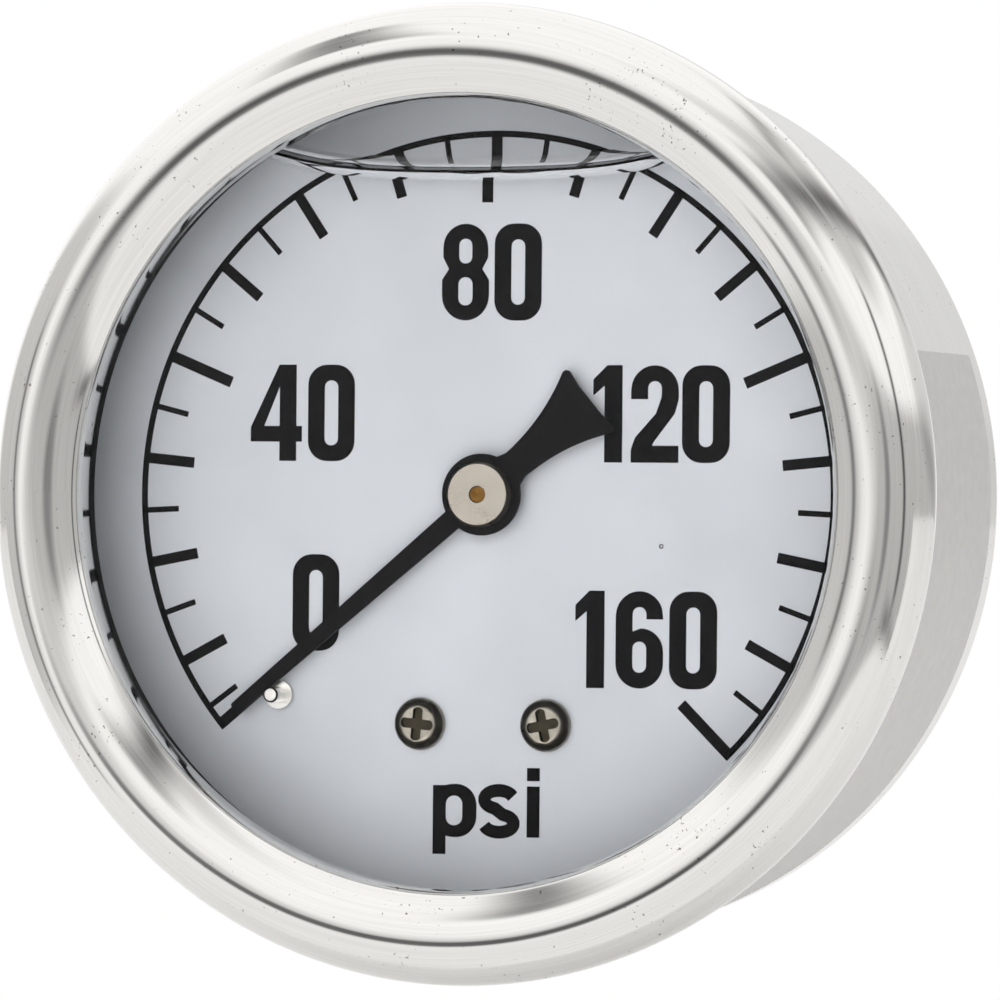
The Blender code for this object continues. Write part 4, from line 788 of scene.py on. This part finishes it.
ring_profile += bow((RING_CREST[0], RING_CREST[1] + RING_DEPTH), RING_OUTSIDE - RING_CREST[0], -90, 0, 24,
                    RING_DEPTH)[1:]
ring_profile += [*bow(ROLL_MIDDLE, ROLL_RADIUS, 0, ROLL_END, 14)[1:], (NECK_RADIUS, hem_front)]
ring_profile += bow((NECK_RADIUS - HEM_EDGE, HEM_BACK - HEM_EDGE), HEM_EDGE, 0, 90, 5)
ring_profile += [(HEM_INSIDE, HEM_BACK), (HEM_INSIDE, hem_front), (NECK_RADIUS - SHEET, hem_front)]
ring_profile += bow(ROLL_MIDDLE, hollow_radius, HOLLOW_END, 0, 6)
ring_profile += bow(ROLL_MIDDLE, hollow_radius, 0, -90, 8, HOLLOW_DEPTH)[1:]
ring_profile += bow((ROLL_MIDDLE[0], ROLL_MIDDLE[1] - SHOULDER), ROLL_MIDDLE[0] - lip_outside, 270, 180, 6,
                    HOLLOW_DEPTH - SHOULDER)[1:]
ring_profile += [(lip_outside, LIP_BACK)]
ring = lathe("polished_ring", ring_profile, steel, 256)
place_on(ring, "housing", "polished_steel", "bezel_ring")

# Liquid. Glycerine between the window and the dial, filled to above the 80, with an air pocket over
# it. Its surface climbs where it wets the window, the dial and the sides.
LIQUID_RADIUS = 29.55
LIQUID_FRONT = -47.69
LIQUID_BACK = -41.79
LIQUID_LEVEL = 21.6
LIQUID_STATIONS = 48
ROUND_STEPS = 96
ACROSS_STEPS = 64
DIAL_CLIMB = 1.5
DIAL_REACH = 2.95
WINDOW_CLIMB = 0.8
WINDOW_REACH = 2.0
WINDOW_BEAD = 0.9
BEAD_REACH = 0.5
SIDE_CLIMB = 1.1
SIDE_FROM = 13.0
SIDE_REACH = 3.5
SIDE_LIMIT = 2.0
GLYCERINE_INDEX = 1.47
NO_MIRROR = 1.0
# Clear glycerine: it bends the view, and its top surface shows as a pale line between two edges.
glycerine = clear_solid("glycerine", GLYCERINE_INDEX)
# Where it wets a wall there is no air to mirror against, so that only the bend of the light is left.
wetted = clear_solid("glycerine on a wall", GLYCERINE_INDEX, NO_MIRROR)


def liquid_height(y, x):
    """The height of the liquid's surface, which climbs the window, the dial and the sides."""
    from_window, from_dial = max(y - LIQUID_FRONT, 0.0), max(LIQUID_BACK - y, 0.0)
    climb = WINDOW_CLIMB * math.exp(-from_window / WINDOW_REACH)
    climb += WINDOW_BEAD * (1 - math.sqrt(min(from_window / BEAD_REACH, 1.0))) ** 2
    climb += DIAL_CLIMB * (1 - math.sqrt(min(from_dial / DIAL_REACH, 1.0))) ** 2
    at_side = SIDE_CLIMB * math.exp((abs(x) - SIDE_FROM) / SIDE_REACH)
    return LIQUID_LEVEL + climb + SIDE_LIMIT * math.tanh(at_side / SIDE_LIMIT)


liquid_shape = bmesh.new()
stations = []
for step in range(LIQUID_STATIONS + 1):
    share = 0.5 - 0.5 * math.cos(math.pi * step / LIQUID_STATIONS)
    y = LIQUID_FRONT + (LIQUID_BACK - LIQUID_FRONT) * share
    edge = math.degrees(math.asin(liquid_height(y, LIQUID_RADIUS) / LIQUID_RADIUS))
    loop = bow((0, 0), LIQUID_RADIUS, edge, -180 - edge, ROUND_STEPS)
    half = loop[0][0]
    across = [-half * math.cos(math.pi * turn / ACROSS_STEPS) for turn in range(1, ACROSS_STEPS)]
    loop += [(x, liquid_height(y, x)) for x in across]
    stations.append([liquid_shape.verts.new(Vector((x, y, z)) * MM) for x, z in loop])
for near, far in zip(stations, stations[1:]):
    for a in range(len(near)):
        b = (a + 1) % len(near)
        liquid_shape.faces.new((near[a], near[b], far[b], far[a]))
for station in (stations[0], stations[-1]):
    liquid_shape.faces.new(station).material_index = 1
liquid = to_object("glycerine_fill", liquid_shape, glycerine, 60)
liquid.data.materials.append(wetted)
place_on(liquid, "housing", "window")

# Bubble. A speck of air that was caught when the case was filled. It clings to the dial in the
# glycerine.
BUBBLE = 0.17
BUBBLE_PLACE = (12.9, -3.5)
bubble_middle = DIAL_FACE - 0.06 - BUBBLE
# Air in a liquid bends light the other way: a tiny bright ring with a dark edge.
air = clear_solid("air", 1 / GLYCERINE_INDEX)
bubble_profile = [(0, bubble_middle - BUBBLE), *bow((0, bubble_middle), BUBBLE, -90, 90, 12)[1:-1]]
bubble_profile += [(0, bubble_middle + BUBBLE)]
bubble = lathe("air_bubble", bubble_profile, air, 24, BUBBLE_PLACE)
place_on(bubble, "housing", "window")

# Fill plug. A moulded plug of the same black rubber, pushed into a hole in the case's wall at 12
# o'clock after the case was filled. A barb under its neck keeps it in.
PLUG_DEPTH = -33.0
PLUG_TOP = 33.26
PLUG_HEAD = 5.0
PLUG_EDGE = 0.95
PLUG_SEAT = 31.36
PLUG_NECK = 3.9
BARB_RADIUS = 4.45
BARB_TOP = 30.11
PLUG_END = 28.51
plug_profile = [(0, PLUG_TOP), *bow((PLUG_HEAD - PLUG_EDGE, PLUG_TOP - PLUG_EDGE), PLUG_EDGE, 90, 0, 8)]
plug_profile += [(PLUG_HEAD, PLUG_SEAT), (PLUG_NECK, PLUG_SEAT), (PLUG_NECK, BARB_TOP)]
plug_profile += [(BARB_RADIUS, BARB_TOP), (PLUG_NECK, PLUG_END), (0, PLUG_END)]
plug = lathe("filling_plug", plug_profile, rubber, 64, upright=PLUG_DEPTH)
place_on(plug, "housing", "rubber", "fill_plug")

# Film. A blank, matt grey plastic film, 0.05 mm thick, stuck round the right side of the case behind
# the ring.
FILM_INSIDE = CASE_RADIUS + 0.01
FILM_OUTSIDE = FILM_INSIDE + 0.05
FILM_FRONT = -43.2
FILM_BACK = -26.2
FILM_TOP = 19.0
FILM_FOOT = -75.0
FILM_STEPS = 48
# Matt plastic: a pale, even grey that takes the mirror off the steel.
film_plastic = uneven_finish("matt grey film", ("BDBBB8", "C9C7C4"), (0.35, 0.5), 0.9)
film_corners = [(FILM_INSIDE, FILM_FRONT), (FILM_OUTSIDE, FILM_FRONT), (FILM_OUTSIDE, FILM_BACK)]
film_corners += [(FILM_INSIDE, FILM_BACK)]
film_shape = bmesh.new()
film_rows = []
for step in range(FILM_STEPS + 1):
    angle = FILM_TOP + (FILM_FOOT - FILM_TOP) * step / FILM_STEPS
    places = [(*polar(radius, angle), y) for radius, y in film_corners]
    film_rows.append([film_shape.verts.new(Vector((x, y, z)) * MM) for x, z, y in places])
for near, far in zip(film_rows, film_rows[1:]):
    for a in range(4):
        b = (a + 1) % 4
        film_shape.faces.new((near[a], near[b], far[b], far[a]))
for end in (film_rows[0], film_rows[-1]):
    film_shape.faces.new(end)
film = to_object("side_film", film_shape, film_plastic)
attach(film, "housing")

# Light tent. A pale floor under the gauge, white cloth all round for the light and the reflections,
# with grey places and dark seams in it, and three soft boxes that the metal doesn't mirror.
FLOOR_TOP = -48.0
FLOOR_FRONT = -56.0
FLOOR_HALF = 1.0
FIBRE_SIZE = 30.0
# Each oval has its middle and half sizes, both as bearing and height in degrees, its softness and
# its tone. Each seam has its two ends, its half width in degrees and its tone.
TENT_OVALS = [((-84, 5), (42, 24), 0.2, 0.6), ((75, -3), (96, 17), 0.15, 0.52),
              ((156, 14), (36, 14), 0.25, 0.7), ((-19, -8), (13, 6), 0.5, 0.16),
              ((18, 0), (7, 9), 0.5, 0.5), ((85, 47), (70, 15), 0.4, 0.62),
              ((-174, 14), (13, 10), 0.3, 0.74)]
TENT_SEAMS = [((-28, 28), (-75, 58), 10, 0.28), ((4, 19), (75, 48), 8, 0.28),
              ((78, 49), (160, 18), 8, 0.25), ((88, 58), (150, 52), 6, 0.6),
              ((61, 32), (66, -16), 6, 0.12), ((45, -14), (155, -13), 4, 0.4),
              ((-57, -22), (-55, 12), 7, 0.34)]
SEAM_FADE = (1.15, 0.8)
LAMP_AIM = (0, -0.04, 0)
SOFT_BOXES = [("soft box left", (-0.3, -0.6, 0.26), 0.75, 1.3),
              ("soft box right", (0.42, -0.55, 0.06), 0.75, 0.95),
              ("soft box below", (-0.12, -0.42, -0.36), 0.5, 1.25)]

# Pale paper: matt and nearly white. In the picture it is as white as the ground.
paper, tree = new_material("pale paper")
place = add(tree, "ShaderNodeTexCoord").outputs["Object"]
fibre = add(tree, "ShaderNodeTexNoise", {"Scale": 1 / (FIBRE_SIZE * MM), "Detail": 3.0}, {"Vector": place})
pale = add(tree, "ShaderNodeValToRGB", links={"Fac": fibre.outputs["Fac"]},
           stops=zip(GRAIN_RANGE, ("EEEEEE", "F4F4F4")))
matt = add(tree, "ShaderNodeBsdfDiffuse", links={"Color": pale.outputs["Color"]})
seen = add(tree, "ShaderNodeEmission", {"Color": srgb("FFFFFF"), "Strength": 1.0})
path = add(tree, "ShaderNodeLightPath")
ground = add(tree, "ShaderNodeMixShader", links={
    0: path.outputs["Is Camera Ray"], 1: matt.outputs["BSDF"], 2: seen.outputs["Emission"]})
add(tree, "ShaderNodeOutputMaterial", links={"Surface": ground.outputs["Shader"]})
floor_shape = bmesh.new()
bmesh.ops.create_grid(floor_shape, x_segments=1, y_segments=1, size=FLOOR_HALF)
bmesh.ops.translate(floor_shape, verts=floor_shape.verts,
                    vec=(0, FLOOR_HALF + FLOOR_FRONT * MM, FLOOR_TOP * MM))
floor = to_object("floor", floor_shape, paper)

world = bpy.data.worlds.new("light tent")
bpy.context.scene.world = world
world.use_nodes = True
tent = world.node_tree
tent.nodes.clear()
way = add(tent, "ShaderNodeTexCoord").outputs["Generated"]
axes = add(tent, "ShaderNodeSeparateXYZ", links={"Vector": way}).outputs
forward = add(tent, "ShaderNodeMath", {1: -1.0}, {0: axes["Y"]}, operation="MULTIPLY")
bearing = add(tent, "ShaderNodeMath", links={0: axes["X"], 1: forward.outputs[0]}, operation="ARCTAN2")
height = add(tent, "ShaderNodeMath", links={0: axes["Z"]}, operation="ARCSINE")
tent_place = add(tent, "ShaderNodeCombineXYZ", links={"X": bearing.outputs[0], "Y": height.outputs[0]})


def tent_way(degrees):
    """The direction of a place on the tent, from its bearing off the dial's axis and its height."""
    side, lift = (math.radians(value) for value in degrees)
    return Vector((math.sin(side) * math.cos(lift), -math.cos(side) * math.cos(lift), math.sin(lift)))


def dimmed(shade, tone, before):
    """Multiplies the tent's tone by a darker one where the shade is 1."""
    share = add(tent, "ShaderNodeMapRange", {"To Min": 1.0, "To Max": tone}, {"Value": shade})
    darker = add(tent, "ShaderNodeMath", links={0: share.outputs["Result"], 1: before}, operation="MULTIPLY")
    return darker.outputs[0]


def oval(centre, half, soft, tone, before):
    """A grey oval on the tent, where the light doesn't reach the cloth."""
    middle = (*(math.radians(value) for value in centre), 0)
    squeeze = (*(1 / math.radians(value) for value in half), 0)
    off = add(tent, "ShaderNodeVectorMath", {1: middle}, {0: tent_place.outputs[0]}, operation="SUBTRACT")
    share = add(tent, "ShaderNodeVectorMath", {1: squeeze}, {0: off.outputs["Vector"]}, operation="MULTIPLY")
    far = add(tent, "ShaderNodeVectorMath", links={0: share.outputs["Vector"]}, operation="LENGTH")
    shade = add(tent, "ShaderNodeMapRange", {"From Min": 1 + soft, "From Max": 1 - soft},
                {"Value": far.outputs["Value"]}, interpolation_type="SMOOTHSTEP")
    return dimmed(shade.outputs["Result"], tone, before)


def seam(start, end, half_width, tone, before):
    """A dark seam along the tent between two places."""
    first, last = tent_way(start), tent_way(end)
    middle = (first + last).normalized()
    reach = first.angle(middle)
    aside = add(tent, "ShaderNodeVectorMath", {1: first.cross(last).normalized()}, {0: way},
                operation="DOT_PRODUCT")
    off = add(tent, "ShaderNodeMath", links={0: aside.outputs["Value"]}, operation="ABSOLUTE")
    beside = add(tent, "ShaderNodeMapRange", {
        "From Min": math.sin(math.radians(half_width)), "From Max": 0.0},
        {"Value": off.outputs[0]}, interpolation_type="SMOOTHSTEP")
    lengthwise = add(tent, "ShaderNodeVectorMath", {1: middle}, {0: way}, operation="DOT_PRODUCT")
    within = add(tent, "ShaderNodeMapRange", {
        "From Min": math.cos(reach * SEAM_FADE[0]), "From Max": math.cos(reach * SEAM_FADE[1])},
        {"Value": lengthwise.outputs["Value"]}, interpolation_type="SMOOTHSTEP")
    shade = add(tent, "ShaderNodeMath", links={0: beside.outputs["Result"], 1: within.outputs["Result"]},
                operation="MULTIPLY")
    return dimmed(shade.outputs[0], tone, before)


# White cloth, lit from above: a little brighter overhead than near the floor.
tent_tone = add(tent, "ShaderNodeMapRange", {
    "From Min": -0.5, "From Max": 0.4, "To Min": 0.95, "To Max": 1.15},
    {"Value": axes["Z"]}).outputs["Result"]
for grey_place in TENT_OVALS:
    tent_tone = oval(*grey_place, tent_tone)
for dark_seam in TENT_SEAMS:
    tent_tone = seam(*dark_seam, tent_tone)
cloth = add(tent, "ShaderNodeBackground", {"Color": srgb("FFFFFF")}, {"Strength": tent_tone})
white = add(tent, "ShaderNodeBackground", {"Color": srgb("FFFFFF"), "Strength": 1.0})
path = add(tent, "ShaderNodeLightPath")
shown = add(tent, "ShaderNodeMixShader", links={
    0: path.outputs["Is Camera Ray"], 1: cloth.outputs["Background"], 2: white.outputs["Background"]})
add(tent, "ShaderNodeOutputWorld", links={"Surface": shown.outputs["Shader"]})

for name, spot, size, power in SOFT_BOXES:
    light = bpy.data.lights.new(name, "AREA")
    light.size = size
    light.energy = power
    lamp = bpy.data.objects.new(name, light)
    lamp.location = spot
    lamp.rotation_euler = (Vector(LAMP_AIM) - Vector(spot)).to_track_quat("-Z", "Y").to_euler()
    lamp.visible_glossy = False
    bpy.context.scene.collection.objects.link(lamp)

# Camera. It stands to the right of the gauge's axis, a little below it and 0.63 m away. Its place,
# roll and lens are those that the ellipses of the ring, the window and the case fit.
AZIMUTH = math.radians(18.15)
ELEVATION = math.radians(-0.42)
ROLL = math.radians(0.51)
DISTANCE = 0.63
PIXELS_PER_METRE = 14368
SENSOR = 36.0
PICTURE_WIDTH = 1000
AIM_DEPTH = -44.98
SHIFT_RIGHT = 1.05
SHIFT_UP = -0.36
back = Vector((math.sin(AZIMUTH) * math.cos(ELEVATION), -math.cos(AZIMUTH) * math.cos(ELEVATION),
               math.sin(ELEVATION)))
right = Vector((math.cos(AZIMUTH), math.sin(AZIMUTH), 0))
upward = back.cross(right)
aim = Vector((0, AIM_DEPTH * MM, 0)) + right * SHIFT_RIGHT * MM + upward * SHIFT_UP * MM
view = bpy.data.cameras.new("camera")
view.sensor_width = SENSOR
view.lens = PIXELS_PER_METRE * DISTANCE * SENSOR / PICTURE_WIDTH
view.clip_start = 0.01
camera = bpy.data.objects.new("camera", view)
turned = Matrix((right, upward, back)).transposed() @ Matrix.Rotation(ROLL, 3, "Z")
camera.matrix_world = Matrix.Translation(aim + back * DISTANCE) @ turned.to_4x4()
bpy.context.scene.collection.objects.link(camera)
bpy.context.scene.camera = camera
bpy.context.scene.view_settings.view_transform = "Standard"
